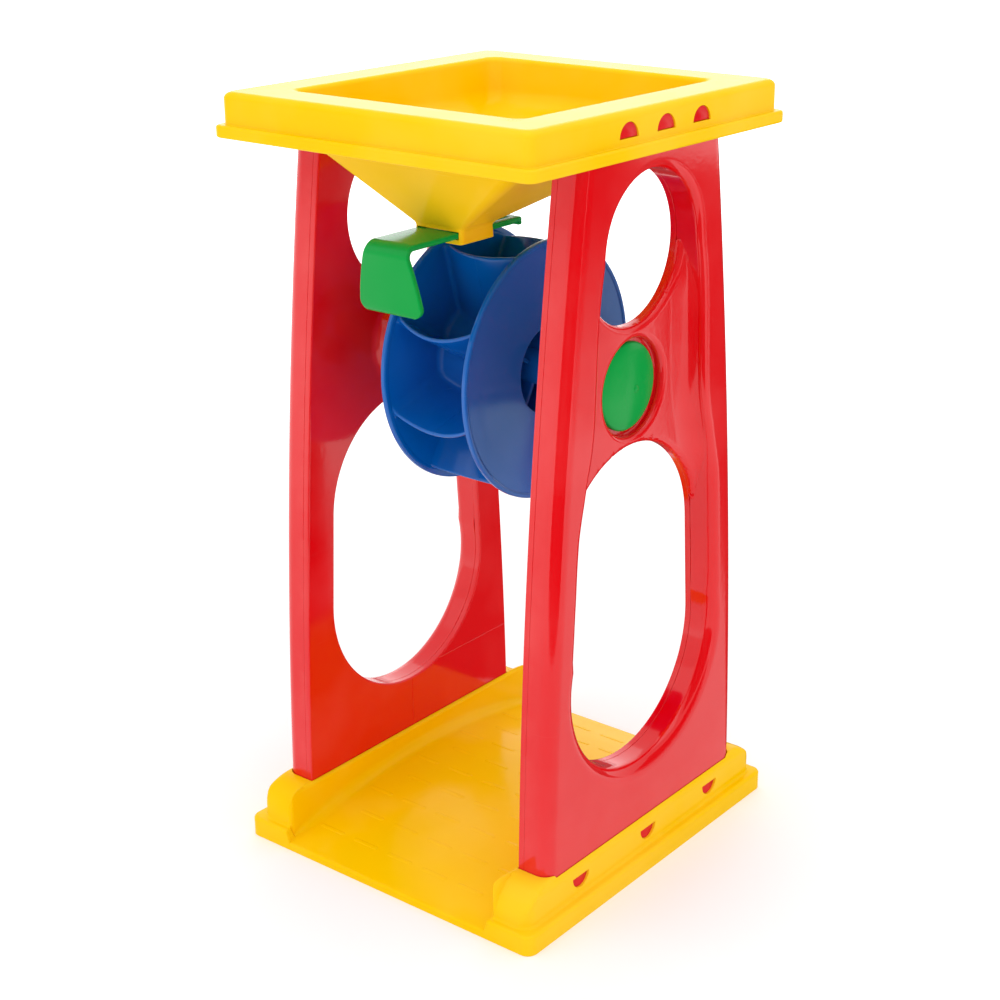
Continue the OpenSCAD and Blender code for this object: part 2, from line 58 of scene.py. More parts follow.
# %% Sizes in millimetres
RIM_Z = 380.0
FACE_IN, SEAM, FACE_OUT, WEB = 68.0, 71.5, 85.8, 75.0
FRAME_LOW, FRAME_TOP = 12.0, 378.0
AXLE_Z = 248.3
UPPER_Z, UPPER_R = 314.5, 36.5
TOP_Z, TOP_R, BOT_Z, BOT_R = 165.0, 55.0, 115.5, 58.0
POCKET_R = 23.5
RAIL_IN, RAIL_OUT, RAIL_END, RAIL_Z = 65.95, 87.55, 98.0, 29.0
PLINTH_W, PLINTH_D, PLINTH_Z = 184.7, 204.0, 10.4
TRAY_TOP, TRAY_EDGE = 16.5, 3.6


def half_depth(z):
    """Half depth of a frame at a height: its sides bow outwards by about 5 mm."""
    foot_y, foot_z, head_y, head_z, bow_r = 80.0, 29.0, 52.8, 359.3, 2840.0
    dy, dz = head_y - foot_y, head_z - foot_z
    chord = math.hypot(dy, dz)
    sag = math.sqrt(bow_r ** 2 - chord ** 2 / 4)
    cy = (foot_y + head_y) / 2 - dz / chord * sag
    cz = (foot_z + head_z) / 2 + dy / chord * sag
    return cy + math.sqrt(bow_r ** 2 - (z - cz) ** 2)


print("half depth of a frame:", round(half_depth(FRAME_LOW), 1), "to", round(half_depth(FRAME_TOP), 1), "mm")

# %% [markdown]
# ## Tools for sections
# A moulder thinks in sections: a profile with rounded corners, then a path or an axis to take it
# round. `soften` rounds the corners of a profile with true arcs, and leaves a guard point beside each
# arc. The guard keeps the flat next to it flat, so that its reflection doesn't bend.

# %% Rounded profiles
def soften(path, cuts, steps=6, guard=0.5, weights=None, closed=False):
    """Rounds the corners of a path. A cut says how far from its corner a rounding starts."""
    path = [np.array(p, float) for p in path]
    weights = np.ones(len(path[0])) if weights is None else np.array(weights, float)
    count, out = len(path), []
    for k in range(count):
        if cuts[k] <= 0 or (not closed and k in (0, count - 1)):
            out.append(path[k])
            continue
        a, p, b = path[k - 1], path[k], path[(k + 1) % count]
        va, vb = (a - p) * weights, (b - p) * weights
        la, lb = np.linalg.norm(va), np.linalg.norm(vb)
        start, end = p + (a - p) * cuts[k] / la, p + (b - p) * cuts[k] / lb
        pull = math.sqrt(max(0.0, (1 - va @ vb / (la * lb)) / 2))
        if la - cuts[k] > 3 * guard:
            out.append(start + (a - p) / la * guard)
        for t in np.linspace(0, 1, steps + 1):
            w0, w1, w2 = (1 - t) ** 2, 2 * pull * t * (1 - t), t * t
            out.append((w0 * start + w1 * p + w2 * end) / (w0 + w1 + w2))
        if lb - cuts[k] > 3 * guard:
            out.append(end + (b - p) / lb * guard)
    return out


print("a softened corner:", len(soften([(0, 9), (0, 0), (9, 0)], [0, 3, 0])), "points")

# %% [markdown]
# A `Skin` collects the points and faces of one piece. It joins rings of points into a loft, closes a
# flat end with a lid, and turns a half section about the axle. Mirroring it gives the other hand.

# %% Skins
def encloses(a, b, x, y):
    """Whether the edges from a to b go round a point: an odd number of them lies to its right."""
    over = (a[:, 1] > y) != (b[:, 1] > y)
    a, b = a[over], b[over]
    where = a[:, 0] + (y - a[:, 1]) / (b[:, 1] - a[:, 1]) * (b[:, 0] - a[:, 0])
    return np.count_nonzero(where > x) % 2 == 1


class Skin:
    """Collects points and faces, in millimetres, until a piece is complete."""

    def __init__(self):
        self.points, self.faces = [], []

    def ring(self, points):
        start = len(self.points)
        self.points.extend(tuple(float(c) for c in p) for p in points)
        return list(range(start, len(self.points)))

    def strip(self, a, b, closed=True):
        for i in range(len(a) if closed else len(a) - 1):
            j = (i + 1) % len(a)
            self.faces.append((a[i], a[j], b[j], b[i]))

    def loft(self, rings, closed=True, tube=False):
        made = [self.ring(r) for r in rings]
        for a, b in zip(made, made[1:]):
            self.strip(a, b, closed)
        if tube:
            self.strip(made[-1], made[0], closed)
        return made

    def lid(self, *loops):
        """Closes a flat area between loops; a loop inside another is a hole."""
        flat = [i for loop in loops for i in loop]
        co = np.array([self.points[i] for i in flat])
        across = np.argsort(np.ptp(co, axis=0))[1:]
        co, edges, start = co[:, across], [], 0
        for loop in loops:
            edges += [(start + k, start + (k + 1) % len(loop)) for k in range(len(loop))]
            start += len(loop)
        points, _, tris, origin, *_ = delaunay_2d_cdt([Vector(c) for c in co], edges, [], 0, 1e-7)
        a, b = co[[e[0] for e in edges]], co[[e[1] for e in edges]]
        for tri in tris:
            x, y = (sum(points[k][n] for k in tri) / 3 for n in (0, 1))
            if encloses(a, b, x, y):
                self.faces.append(tuple(flat[origin[k][0]] for k in tri))

    def close(self, made):
        """Puts a lid on each end of a loft."""
        self.lid(made[0])
        self.lid(made[-1])

    def bar(self, rings):
        self.close(self.loft(rings))

    def revolve(self, profile, count=96):
        """Turns a (radius, x) profile about the axle line."""
        turns = [2 * math.pi * i / count for i in range(count)]
        rings = [[(x, r * math.sin(t), AXLE_Z + r * math.cos(t)) for t in turns] for r, x in profile]
        return self.loft(rings)

    def add(self, other):
        base = len(self.points)
        self.points.extend(other.points)
        self.faces.extend(tuple(i + base for i in f) for f in other.faces)

    def mirrored(self):
        twin = Skin()
        twin.points = [(-x, y, z) for x, y, z in self.points]
        twin.faces = [tuple(reversed(f)) for f in self.faces]
        return twin


print("a skin can:", [tool for tool in vars(Skin) if not tool.startswith("_")])

# %% [markdown]
# Some faces are landscapes, such as the sunken web of a frame and the ground of the base. A flat plan is
# filled with triangles through rows of points, and each point is lifted to its height. `roll` is the
# slope of a rounded edge and `smooth` is a soft step.

# %% Landscapes
def roll(d, r):
    """How far a rounded edge of radius r has dropped at a distance d in from the edge."""
    d = min(max(d, 0.0), r)
    return r - math.sqrt(r * r - (r - d) ** 2)


def smooth(a, b, t):
    """A soft step from 0 at a to 1 at b."""
    u = min(max((t - a) / (b - a), 0.0), 1.0)
    return u * u * (3 - 2 * u)


def terrain(skin, loops, rows, inside, lift):
    """Fills a flat area between loops with triangles through the row points and lifts each point."""
    points, edges = [], []
    for loop in loops:
        start = len(points)
        points.extend(loop)
        edges.extend((start + i, start + (i + 1) % len(loop)) for i in range(len(loop)))
    taken = {(round(p[0] / 0.2), round(p[1] / 0.2)) for p in points}
    for p in rows:
        key = (round(p[0] / 0.2), round(p[1] / 0.2))
        if key not in taken and inside(*p):
            taken.add(key)
            points.append(p)
    flat, _, tris, *_ = delaunay_2d_cdt([Vector(p) for p in points], edges, [], 0, 1e-6)
    made = skin.ring([lift(p[0], p[1]) for p in flat])
    for t in tris:
        a, b = (sum(flat[i][k] for i in t) / 3 for k in (0, 1))
        if inside(a, b):
            skin.faces.append(tuple(made[i] for i in t))
    loops_made, start = [], 0
    for loop in loops:
        loops_made.append(made[start:start + len(loop)])
        start += len(loop)
    return loops_made


print("a 3 mm edge has dropped by", round(roll(1.0, 3.0), 2), "mm at 1 mm from its border")

# %% [markdown]
# ## From skin to piece
# Toys are handled, so their outward edges go pale and dull first. For every piece we measure how
# far each point stands out from its neighbours and store it as `wear`; the plastic reads that number
# later. Storing it in the mesh means that the same edges are worn from every side.

# %% Turning a skin into a mesh
WELD = 0.004
WEAR_FROM, WEAR_RANGE = 60, 400


def mark_wear(mesh):
    """Stores how far each point sticks out from its neighbours, from 0 to 1."""
    count = len(mesh.vertices)
    co = np.empty(count * 3)
    mesh.vertices.foreach_get("co", co)
    co = co.reshape(-1, 3)
    normal = np.array([v.normal for v in mesh.vertices])
    ends = np.empty(len(mesh.edges) * 2, int)
    mesh.edges.foreach_get("vertices", ends)
    a, b = ends.reshape(-1, 2).T
    step = co[b] - co[a]
    length = np.maximum(np.linalg.norm(step, axis=1), 1e-7)
    rise, share = np.zeros(count), np.zeros(count)
    for here, sign in ((a, 1.0), (b, -1.0)):
        np.add.at(rise, here, -sign * (step * normal[here]).sum(1) / length ** 2)
        np.add.at(share, here, 1.0)
    curve = rise / np.maximum(share, 1)
    worn = np.clip((curve - WEAR_FROM) / WEAR_RANGE, 0, 1)
    layer = mesh.attributes.new("wear", "FLOAT", "POINT")
    layer.data.foreach_set("value", worn.astype(np.float32))


def build_mesh(name, skin, weld=WELD):
    mesh = bpy.data.meshes.new(name)
    mesh.from_pydata([(x * MM, y * MM, z * MM) for x, y, z in skin.points], [], skin.faces)
    bm = bmesh.new()
    bm.from_mesh(mesh)
    bmesh.ops.remove_doubles(bm, verts=bm.verts, dist=weld * MM)
    bmesh.ops.dissolve_degenerate(bm, edges=bm.edges, dist=1e-7)
    loose = [v for v in bm.verts if not v.link_faces]
    bmesh.ops.delete(bm, geom=loose, context="VERTS")
    bmesh.ops.recalc_face_normals(bm, faces=bm.faces)
    bm.to_mesh(mesh)
    bm.free()
    return mesh


print("points closer than", WELD, "mm are merged")

# %% [markdown]
# A finished piece gets smooth shading with sharp creases, its plastic, and its place in the toy: the body
# that it rides on; the packed nodes that it replaces are hidden. Windows are cut with a Boolean.

# %% Finishing, pairing and cutting
SHARP = 38


def placed(name, data):
    """A new object in the scene."""
    obj = bpy.data.objects.new(name, data)
    bpy.context.scene.collection.objects.link(obj)
    return obj


def finish_piece(name, mesh, material, body, nodes):
    mesh.shade_smooth()
    mesh.set_sharp_from_angle(angle=math.radians(SHARP))
    mark_wear(mesh)
    mesh.materials.clear()
    mesh.materials.append(material)
    obj = placed(name, mesh)
    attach(obj, body)
    if nodes:
        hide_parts(*nodes)
    print(f"{name}: {len(mesh.vertices)} points, {len(mesh.polygons)} faces")


def finish_pair(label, skin, material, body, node_label):
    """Finishes a right-hand piece and its mirror image; {} in a label stands for the side."""
    for side, hand in (("right", skin), ("left", skin.mirrored())):
        name = label.format(side)
        finish_piece(name, build_mesh(name, hand), material, body, [node_label.format(side)])


def evaluated(obj):
    """A plain mesh of what an object's modifiers make; the object itself is removed."""
    mesh = bpy.data.meshes.new_from_object(obj.evaluated_get(bpy.context.evaluated_depsgraph_get()))
    bpy.data.objects.remove(obj)
    return mesh


def cut_away(name, mesh, cutter_skin):
    """Cuts one closed skin out of a mesh."""
    obj = placed(name, mesh)
    tool = placed(name + "_cutter", build_mesh(name + "_cutter", cutter_skin))
    cut = obj.modifiers.new("cut", "BOOLEAN")
    cut.operation, cut.solver, cut.object = "DIFFERENCE", "EXACT", tool
    bpy.context.view_layer.update()
    result = evaluated(obj)
    bpy.data.objects.remove(tool)
    return result


# %% [markdown]
# ## Moulded plastic
# One recipe serves every colour. Real moulded plastic has a faint orange-peel skin, slow colour drift
# where the melt flowed, thin scuffs from sand, and pale, duller edges. The shared group makes a
# colour, a roughness and a height from those four things. Each colour then has its own shader, so that
# a slot can be repainted alone. The snap tabs get a red of their own: the frames' red painted a little
# darker, as painted shade for their place behind the windows, and less shiny.

# %% Helpers for node trees
def link(tree, a, b):
    tree.links.new(a, b)


def node(tree, kind, **settings):
    made = tree.nodes.new(kind)
    for key, value in settings.items():
        setattr(made, key, value)
    return made


def fed(tree, kind, inputs, **settings):
    """A node with its inputs given by name: a socket is linked, a plain value is set."""
    made = node(tree, kind, **settings)
    for name, value in inputs.items():
        if isinstance(value, bpy.types.NodeSocket):
            link(tree, value, made.inputs[name])
        else:
            made.inputs[name].default_value = value
    return made


def math_node(tree, operation, a, b):
    return fed(tree, "ShaderNodeMath", {0: a, 1: b}, operation=operation).outputs[0]


def scaled(tree, value, factor):
    return math_node(tree, "MULTIPLY", value, factor)


def total(tree, first, *others):
    for other in others:
        first = math_node(tree, "ADD", first, other)
    return first


def noise(tree, coord, scale, detail, rough=0.5, stretch=None):
    if stretch:
        coord = fed(tree, "ShaderNodeMapping", {"Vector": coord, "Scale": stretch,
                                                "Rotation": (0.4, 0.7, 0.2)}).outputs[0]
    return fed(tree, "ShaderNodeTexNoise", {"Vector": coord, "Scale": scale, "Detail": detail,
                                            "Roughness": rough}).outputs["Fac"]


def ramp(tree, value, low, high):
    return fed(tree, "ShaderNodeMapRange", {"Value": value, "From Min": low, "From Max": high},
               interpolation_type="SMOOTHSTEP").outputs["Result"]


def open_tree(name, kind, sockets):
    """A new node group with its sockets, each given as a name, INPUT or OUTPUT, and a type."""
    tree = bpy.data.node_groups.new(name, kind)
    for label, way, sort in sockets:
        tree.interface.new_socket(label, in_out=way, socket_type="NodeSocket" + sort)
    return tree, node(tree, "NodeGroupInput"), node(tree, "NodeGroupOutput")


# %% [markdown]
# The recipe is a shader node group. It takes a colour, a paler one and a gloss; its patterns are fixed to
# the piece by Object coordinates, and the `wear` of the mesh says where edges have gone pale.

# %% The shared plastic recipe
def plastic_group():
    tree, given, made = open_tree("moulded_plastic", "ShaderNodeTree", (
        ("Colour", "INPUT", "Color"), ("Pale", "INPUT", "Color"), ("Gloss", "INPUT", "Float"),
        ("Colour", "OUTPUT", "Color"), ("Roughness", "OUTPUT", "Float"), ("Height", "OUTPUT", "Float")))
    coord = node(tree, "ShaderNodeTexCoord").outputs["Object"]
    wear = node(tree, "ShaderNodeAttribute", attribute_name="wear").outputs["Fac"]

    flow = ramp(tree, noise(tree, coord, 14, 3), 0.3, 0.7)
    peel = noise(tree, coord, 420, 2)
    hair = ramp(tree, noise(tree, coord, 30, 6, 0.6, (1.0, 1.0, 26.0)), 0.63, 0.74)
    patch = ramp(tree, noise(tree, coord, 22, 4), 0.46, 0.66)
    scuff = math_node(tree, "MULTIPLY", hair, patch)
    chipped = math_node(tree, "MULTIPLY", wear, ramp(tree, noise(tree, coord, 60, 5), 0.4, 0.75))

    drift = fed(tree, "ShaderNodeHueSaturation", {
        "Color": given.outputs["Colour"], "Value": total(tree, scaled(tree, flow, 0.05), 0.975),
        "Saturation": math_node(tree, "SUBTRACT", 1.01, scaled(tree, flow, 0.03))})
    pale_share = total(tree, scaled(tree, chipped, 0.16), scaled(tree, scuff, 0.08))
    worn = fed(tree, "ShaderNodeMix", {"Factor": pale_share, "A": drift.outputs[0],
                                       "B": given.outputs["Pale"]}, data_type="RGBA")
    rough = total(tree, given.outputs["Gloss"], scaled(tree, patch, 0.035), scaled(tree, scuff, 0.14),
                  scaled(tree, chipped, 0.12))
    height = math_node(tree, "SUBTRACT", total(tree, scaled(tree, peel, 0.5), scaled(tree, flow, 0.5)),
                       scaled(tree, scuff, 0.2))
    for label, value in (("Colour", worn.outputs["Result"]), ("Roughness", rough), ("Height", height)):
        link(tree, value, made.inputs[label])
    return tree


RECIPE = plastic_group()
print("recipe:", [item.name for item in RECIPE.interface.items_tree])

# %% [markdown]
# Each finish is a material of its own. The red and the blue plastic mirror the most, and both yellows
# hardly mirror at all.

# %% Six finishes
def linear(rgb):
    """Linear colour of 8-bit screen values."""
    return tuple((c / 255 / 12.92) if c <= 10 else ((c / 255 + 0.055) / 1.055) ** 2.4 for c in rgb) + (1.0,)


def plastic(name, rgb, pale, gloss, shine):
    material = bpy.data.materials.new(name)
    material.use_nodes = True
    tree = material.node_tree
    shader = tree.nodes["Principled BSDF"]
    shader.inputs["IOR"].default_value = 1.5
    shader.inputs["Specular IOR Level"].default_value = shine
    recipe = node(tree, "ShaderNodeGroup", node_tree=RECIPE)
    recipe.inputs["Colour"].default_value = linear(rgb)
    recipe.inputs["Pale"].default_value = linear(pale)
    recipe.inputs["Gloss"].default_value = gloss
    bump = fed(tree, "ShaderNodeBump", {
        "Strength": 0.06, "Distance": 0.6 * MM, "Height": recipe.outputs["Height"]})
    link(tree, recipe.outputs["Colour"], shader.inputs["Base Color"])
    link(tree, recipe.outputs["Roughness"], shader.inputs["Roughness"])
    link(tree, bump.outputs["Normal"], shader.inputs["Normal"])
    return material


RED = plastic("red_plastic", (230, 8, 18), (240, 96, 90), 0.09, 0.5)
# Snap-tab red: the frames' red painted a little darker as painted shade, and less shiny.
SHADED_TAB_RED = plastic("red_tab_painted_shade", (224, 10, 20), (236, 90, 84), 0.28, 0.12)
YELLOW = plastic("yellow_hopper_plastic", (255, 206, 0), (255, 220, 60), 0.2, 0.07)
AMBER = plastic("yellow_base_plastic", (255, 203, 0), (255, 218, 60), 0.16, 0.06)
BLUE = plastic("blue_plastic", (0, 96, 184), (50, 135, 210), 0.15, 0.4)
GREEN = plastic("green_plastic", (0, 162, 66), (70, 190, 110), 0.14, 0.14)
print("materials:", [m.name for m in (RED, SHADED_TAB_RED, YELLOW, AMBER, BLUE, GREEN)])

# %% [markdown]
# ## The frame's openings
# Seen from outside, each frame has one keyhole: a round window on top, two long legs beside a
# sunken web, and a tall egg-shaped window below. We walk down that keyhole once, and note at each
# step which way the plastic lies and how softly the edge is rolled. The roll is wide round the
# windows and tight along the legs, as it is on the toy.

# %% Keyhole outline with edge radii
UPPER_TURN = math.radians(84)
LEG_POINTS = ((36.5, 314.5), (39.0, 301), (40.7, 286), (41.6, 271), (42.3, 256), (43.2, 242), (45.3, 229),
              (48.6, 217), (51.2, 205), (53.0, 193), (54.3, 180), (55.2, 166), (56.4, 149), (57.4, 131))


def edge_radius(z):
    """How softly the keyhole's edge is rolled at a height."""
    return 3.4 + 0.8 * smooth(316, 338, z) + 1.6 * smooth(212, 190, z) + 1.6 * smooth(150, 100, z)


def leg_y(z):
    """How far from the middle the recess wall of a leg stands at a height."""
    known = sorted((h, y) for y, h in LEG_POINTS)
    hs, ys = np.array(known).T
    k = int(np.clip(np.searchsorted(hs, z) - 1, 0, len(hs) - 2))
    slope = np.gradient(ys, hs)
    w = hs[k + 1] - hs[k]
    t = (z - hs[k]) / w
    a, b = 2 * t ** 3 - 3 * t ** 2 + 1, t ** 3 - 2 * t ** 2 + t
    c, d = -2 * t ** 3 + 3 * t ** 2, t ** 3 - t ** 2
    return float(a * ys[k] + b * w * slope[k] + c * ys[k + 1] + d * w * slope[k + 1])


def keyhole_half():
    """Points (y, z), their direction into the plastic, from the top of the keyhole to its foot."""
    out = []
    for a in np.linspace(0, UPPER_TURN, 24):
        out.append((UPPER_R * math.sin(a), UPPER_Z + UPPER_R * math.cos(a), math.sin(a), math.cos(a)))
    for z in np.linspace(UPPER_Z - 1.5, 133.5, 60):
        lean = leg_y(z + 0.5) - leg_y(z - 0.5)
        n = math.hypot(1.0, lean)
        out.append((leg_y(z), z, 1 / n, -lean / n))
    for a in np.linspace(math.radians(12), -math.pi / 2, 36):
        out.append((BOT_R * math.cos(a), BOT_Z + BOT_R * math.sin(a), math.cos(a), math.sin(a)))
    return out


def both_sides(half):
    """Completes a half outline (y, z, ny, nz) that starts and ends on the middle line."""
    return half + [(-y, z, -ny, nz) for y, z, ny, nz in half[-2:0:-1]]


KEYHOLE = both_sides(keyhole_half())
print("keyhole outline:", len(KEYHOLE), "points")

# %% [markdown]
# ## Frame shells
# A shell is the outer half of a frame, like the lid of a box: side walls, a 7 mm rounded edge, a flat
# face and the rolled keyhole. The sunken web that carries the axle is a landscape of its own: it
# drops over rounded edges into both windows and into the cap pocket, and climbs the legs in a soft
# cove. A landscape over a flat plan is easiest to make as a terrain with its contour lines as rows.

# %% Sunken web of the right frame
WEB_ROLL, POCKET_ROLL, COVE, COVE_SHARE = 3.2, 2.8, 12.5, 0.6
WEB_LOW, WEB_HIGH, WEB_STEP = 180.0, 312.0, 2.5
COVE_HEAD, COVE_FOOT = (313, 284), (180, 208)


def web_lift(y, z):
    """The web's landscape: it drops into its three holes and climbs the legs in a cove."""
    d_up = math.hypot(y, z - UPPER_Z) - UPPER_R
    d_low = math.hypot(y, z - TOP_Z) - TOP_R
    d_cap = math.hypot(y, z - AXLE_Z) - POCKET_R
    climb = COVE_SHARE * smooth(*COVE_HEAD, z) * smooth(*COVE_FOOT, z)
    x = (WEB - roll(d_up, WEB_ROLL) - roll(d_low, WEB_ROLL) - roll(d_cap, POCKET_ROLL)
         + climb * roll(leg_y(z) - abs(y), COVE))
    return (max(x, SEAM + 0.1), y, z)


def web_inside(y, z):
    return (math.hypot(y, z - UPPER_Z) > UPPER_R and math.hypot(y, z - TOP_Z) > TOP_R
            and math.hypot(y, z - AXLE_Z) > POCKET_R
            and WEB_LOW - 4 < z < WEB_HIGH + 0.5 and abs(y) < leg_y(z) + 0.25)


def web_skin():
    skin = Skin()
    heights = np.arange(WEB_LOW, WEB_HIGH, WEB_STEP)
    legs = [(leg_y(z) + 0.3, z) for z in heights[::-1]]
    reach, side = math.atan2(legs[-1][0], legs[-1][1] - TOP_Z), UPPER_TURN
    low = [(TOP_R * math.sin(a), TOP_Z + TOP_R * math.cos(a)) for a in np.linspace(reach, -reach, 91)]
    top = [(UPPER_R * math.sin(a), UPPER_Z - UPPER_R * math.cos(a)) for a in np.linspace(-side, side, 81)]
    border = top + legs + low + [(-y, z) for y, z in reversed(legs)]
    turns = np.linspace(0, 2 * math.pi, 73)[:-1]
    cap = [(POCKET_R * math.cos(a), AXLE_Z + POCKET_R * math.sin(a)) for a in turns]
    holes = ((UPPER_R, UPPER_Z, WEB_ROLL), (TOP_R, TOP_Z, WEB_ROLL), (POCKET_R, AXLE_Z, POCKET_ROLL))
    arcs = [1 - math.cos(math.radians(a)) for a in (12, 24, 36, 48, 60, 72, 84, 90)]
    rows = []
    for a in np.linspace(0, 2 * math.pi, 145):
        c, s = math.cos(a), math.sin(a)
        for r, z, edge in holes:
            rows += [((r + edge * k) * c, z + (r + edge * k) * s) for k in arcs + [1.3]]
    for z in heights:
        edge = leg_y(z)
        rows += [(s * (edge - COVE * k), z) for k in [0.004, 0.02] + arcs + [1.12] for s in (-1, 1)]
        rows += [(y, z) for y in np.arange(-28, 29, 4.0)]
    loops = terrain(skin, [border, cap], rows, web_inside, web_lift)
    feet = [skin.ring([(SEAM + 0.1, *skin.points[i][1:]) for i in loop]) for loop in loops]
    for loop, foot in zip(loops, feet):
        skin.strip(loop, foot)
    skin.lid(*feet)
    return skin


WEB_SKIN = web_skin()
print("web:", len(WEB_SKIN.points), "points")

# %% [markdown]
# The side walls with their rounded edge are a loft of the frame's outline, and the rolled edge of the
# keyhole is another. Flat lids with a hole join the two lofts, and the web is added.

# %% Shell of the right frame
EDGE_R = 7.0


def outline(inset, steps=48):
    zs = np.linspace(FRAME_LOW, FRAME_TOP, steps + 1)
    side = [(half_depth(z) - inset, z) for z in zs]
    return side + [(-y, z) for y, z in reversed(side)]


def shell_skin():
    skin = Skin()
    corners = [(0.12, SEAM + 0.03), (0, SEAM + 0.16), (0, FACE_OUT), (EDGE_R + 2, FACE_OUT)]
    section = soften(corners, [0, 0, EDGE_R, 0], 10, 1.0)
    section[-1] = np.array([EDGE_R + 1, FACE_OUT])
    edge = skin.loft([[(x, y, z) for y, z in outline(i)] for i, x in section])
    rings = []
    for offset, x in ((0.2, SEAM + 0.05), (0.0, SEAM + 0.25), (0.0, SEAM + 2.0)):
        rings.append([(x, y + ny * offset, z + nz * offset) for y, z, ny, nz in KEYHOLE])
    for a in np.radians([-8, 0, 12, 24, 36, 48, 60, 72, 82, 90, 98]):
        ring = []
        for y, z, ny, nz in KEYHOLE:
            r = edge_radius(z)
            offset, drop = r * (1 - math.cos(a)), r * (1 - math.sin(a))
            if a < 0:
                offset, drop = 0.0, r + 0.8
            elif a > math.pi / 2:
                offset, drop = r + 0.8, 0.0
            ring.append((FACE_OUT - drop, y + ny * offset, z + nz * offset))
        rings.append(ring)
    hole = skin.loft(rings)
    skin.lid(edge[-1], hole[-1])
    skin.lid(edge[0], hole[0])
    skin.add(WEB_SKIN)
    return skin


finish_pair("{}_shell", shell_skin(), RED, "stand", "{}_frame_shell")

# %% [markdown]
# ## Frame covers
# The cover closes the frame on the wheel's side. It is a flat plate with the two windows, and from
# its middle a cone reaches in to carry the wheel. A fine V-groove stays all round where cover and
# shell meet; you can see it as a dark hairline on the toy. The thin raised lines near the foot are
# marks that the mould leaves.

# %% Cover of the right frame
def window_loops():
    upper = [(UPPER_R * math.sin(a), UPPER_Z + UPPER_R * math.cos(a), math.sin(a), math.cos(a))
             for a in np.linspace(0, 2 * math.pi, 97)[:-1]]
    lean = math.asin((BOT_R - TOP_R) / (TOP_Z - BOT_Z))
    half = [(TOP_R * math.cos(a), TOP_Z + TOP_R * math.sin(a), math.cos(a), math.sin(a))
            for a in np.linspace(math.pi / 2, lean, 30)]
    half += [(BOT_R * math.cos(a), BOT_Z + BOT_R * math.sin(a), math.cos(a), math.sin(a))
             for a in np.linspace(lean, -math.pi / 2, 34)]
    return upper, both_sides(half)


def bead(skin, ends):
    """A thin raised line with a round back between two (y, z) points, standing on the cover's face."""
    width, height, root = 0.5, 0.22, 0.3
    a, b = (np.array(end, float) for end in ends)
    along = (b - a) / np.linalg.norm(b - a)
    across = np.array([-along[1], along[0]])
    section = [(math.cos(t) * width / 2, math.sin(t) * height) for t in np.linspace(0, math.pi, 7)]
    section += [(-width / 2, -root), (width / 2, -root)]
    skin.bar([[(FACE_IN - h, *(end + across * w)) for w, h in section] for end in (a, b)])


def cover_skin():
    skin = Skin()
    corners = [(1.2, FACE_IN), (0, FACE_IN), (0, SEAM - 0.16), (0.12, SEAM - 0.03)]
    section = soften(corners, [0, 0.8, 0, 0], 5, 0.4)
    edge = skin.loft([[(x, y, z) for y, z in outline(i)] for i, x in section])
    fronts, backs = [edge[0]], [edge[-1]]
    for loop in window_loops():
        made = skin.loft([[(x, y + ny * o, z + nz * o) for y, z, ny, nz in loop] for o, x in section])
        fronts.append(made[0])
        backs.append(made[-1])
    tip, sleeve, bore, end = FACE_IN - 26.0, 7.5, 5.2, 26.5
    corners = [(26.4, FACE_IN), (22, FACE_IN), (11, tip), (sleeve, tip),
               (sleeve, end), (bore, end), (bore, 30.0)]
    boss = skin.revolve(soften(corners, [0, 3.0, 1.2, 1.5, 0.5, 0.3, 0], 7, 0.5))
    skin.lid(boss[-1])
    fronts.append(boss[0])
    skin.lid(*fronts)
    pocket = skin.revolve([(POCKET_R, SEAM - 0.1), (POCKET_R, 70.2), (POCKET_R - 0.5, 69.7), (5.0, 69.7)])
    skin.lid(pocket[-1])
    backs.append(pocket[0])
    skin.lid(*backs)
    mark_z = 60.7
    clear = math.sqrt(BOT_R ** 2 - (BOT_Z - mark_z) ** 2) + 2.0
    bead(skin, ((clear, mark_z), (half_depth(mark_z) - 1, mark_z)))
    bead(skin, ((-1, 57.0), (-1, 31.0)))
    return skin


finish_pair("{}_cover", cover_skin(), RED, "stand", "{}_frame_cover")

# %% [markdown]
# ## Snap tabs
# Three half-round tabs on top of each frame click into windows in the hopper, and three at the foot
# click into the base. They repeat at a fixed pitch, so one tab is drawn as an arc, filled, made solid
# and set out along a row with Geometry Nodes. Changing the pitch or the count changes the whole row.

# %% A row of half-round tabs
def geometry_tree(name, inputs):
    """An empty Geometry Nodes tree that takes a shape, named inputs and a material."""
    return open_tree(name, "GeometryNodeTree", [
        ("Geometry", "INPUT", "Geometry"), *((label, "INPUT", sort) for label, sort in inputs),
        ("Material", "INPUT", "Material"), ("Geometry", "OUTPUT", "Geometry")])


def realized(tree, points, shape, turn):
    """Real copies of a shape on points."""
    spread = fed(tree, "GeometryNodeInstanceOnPoints", {
        "Points": points, "Instance": shape, "Rotation": turn})
    return fed(tree, "GeometryNodeRealizeInstances", {"Geometry": spread.outputs[0]}).outputs[0]


def close_tree(tree, given, made, shape):
    """Paints the finished shape and puts it out."""
    paint = fed(tree, "GeometryNodeSetMaterial", {"Geometry": shape, "Material": given.outputs["Material"]})
    link(tree, paint.outputs[0], made.inputs["Geometry"])
    return tree


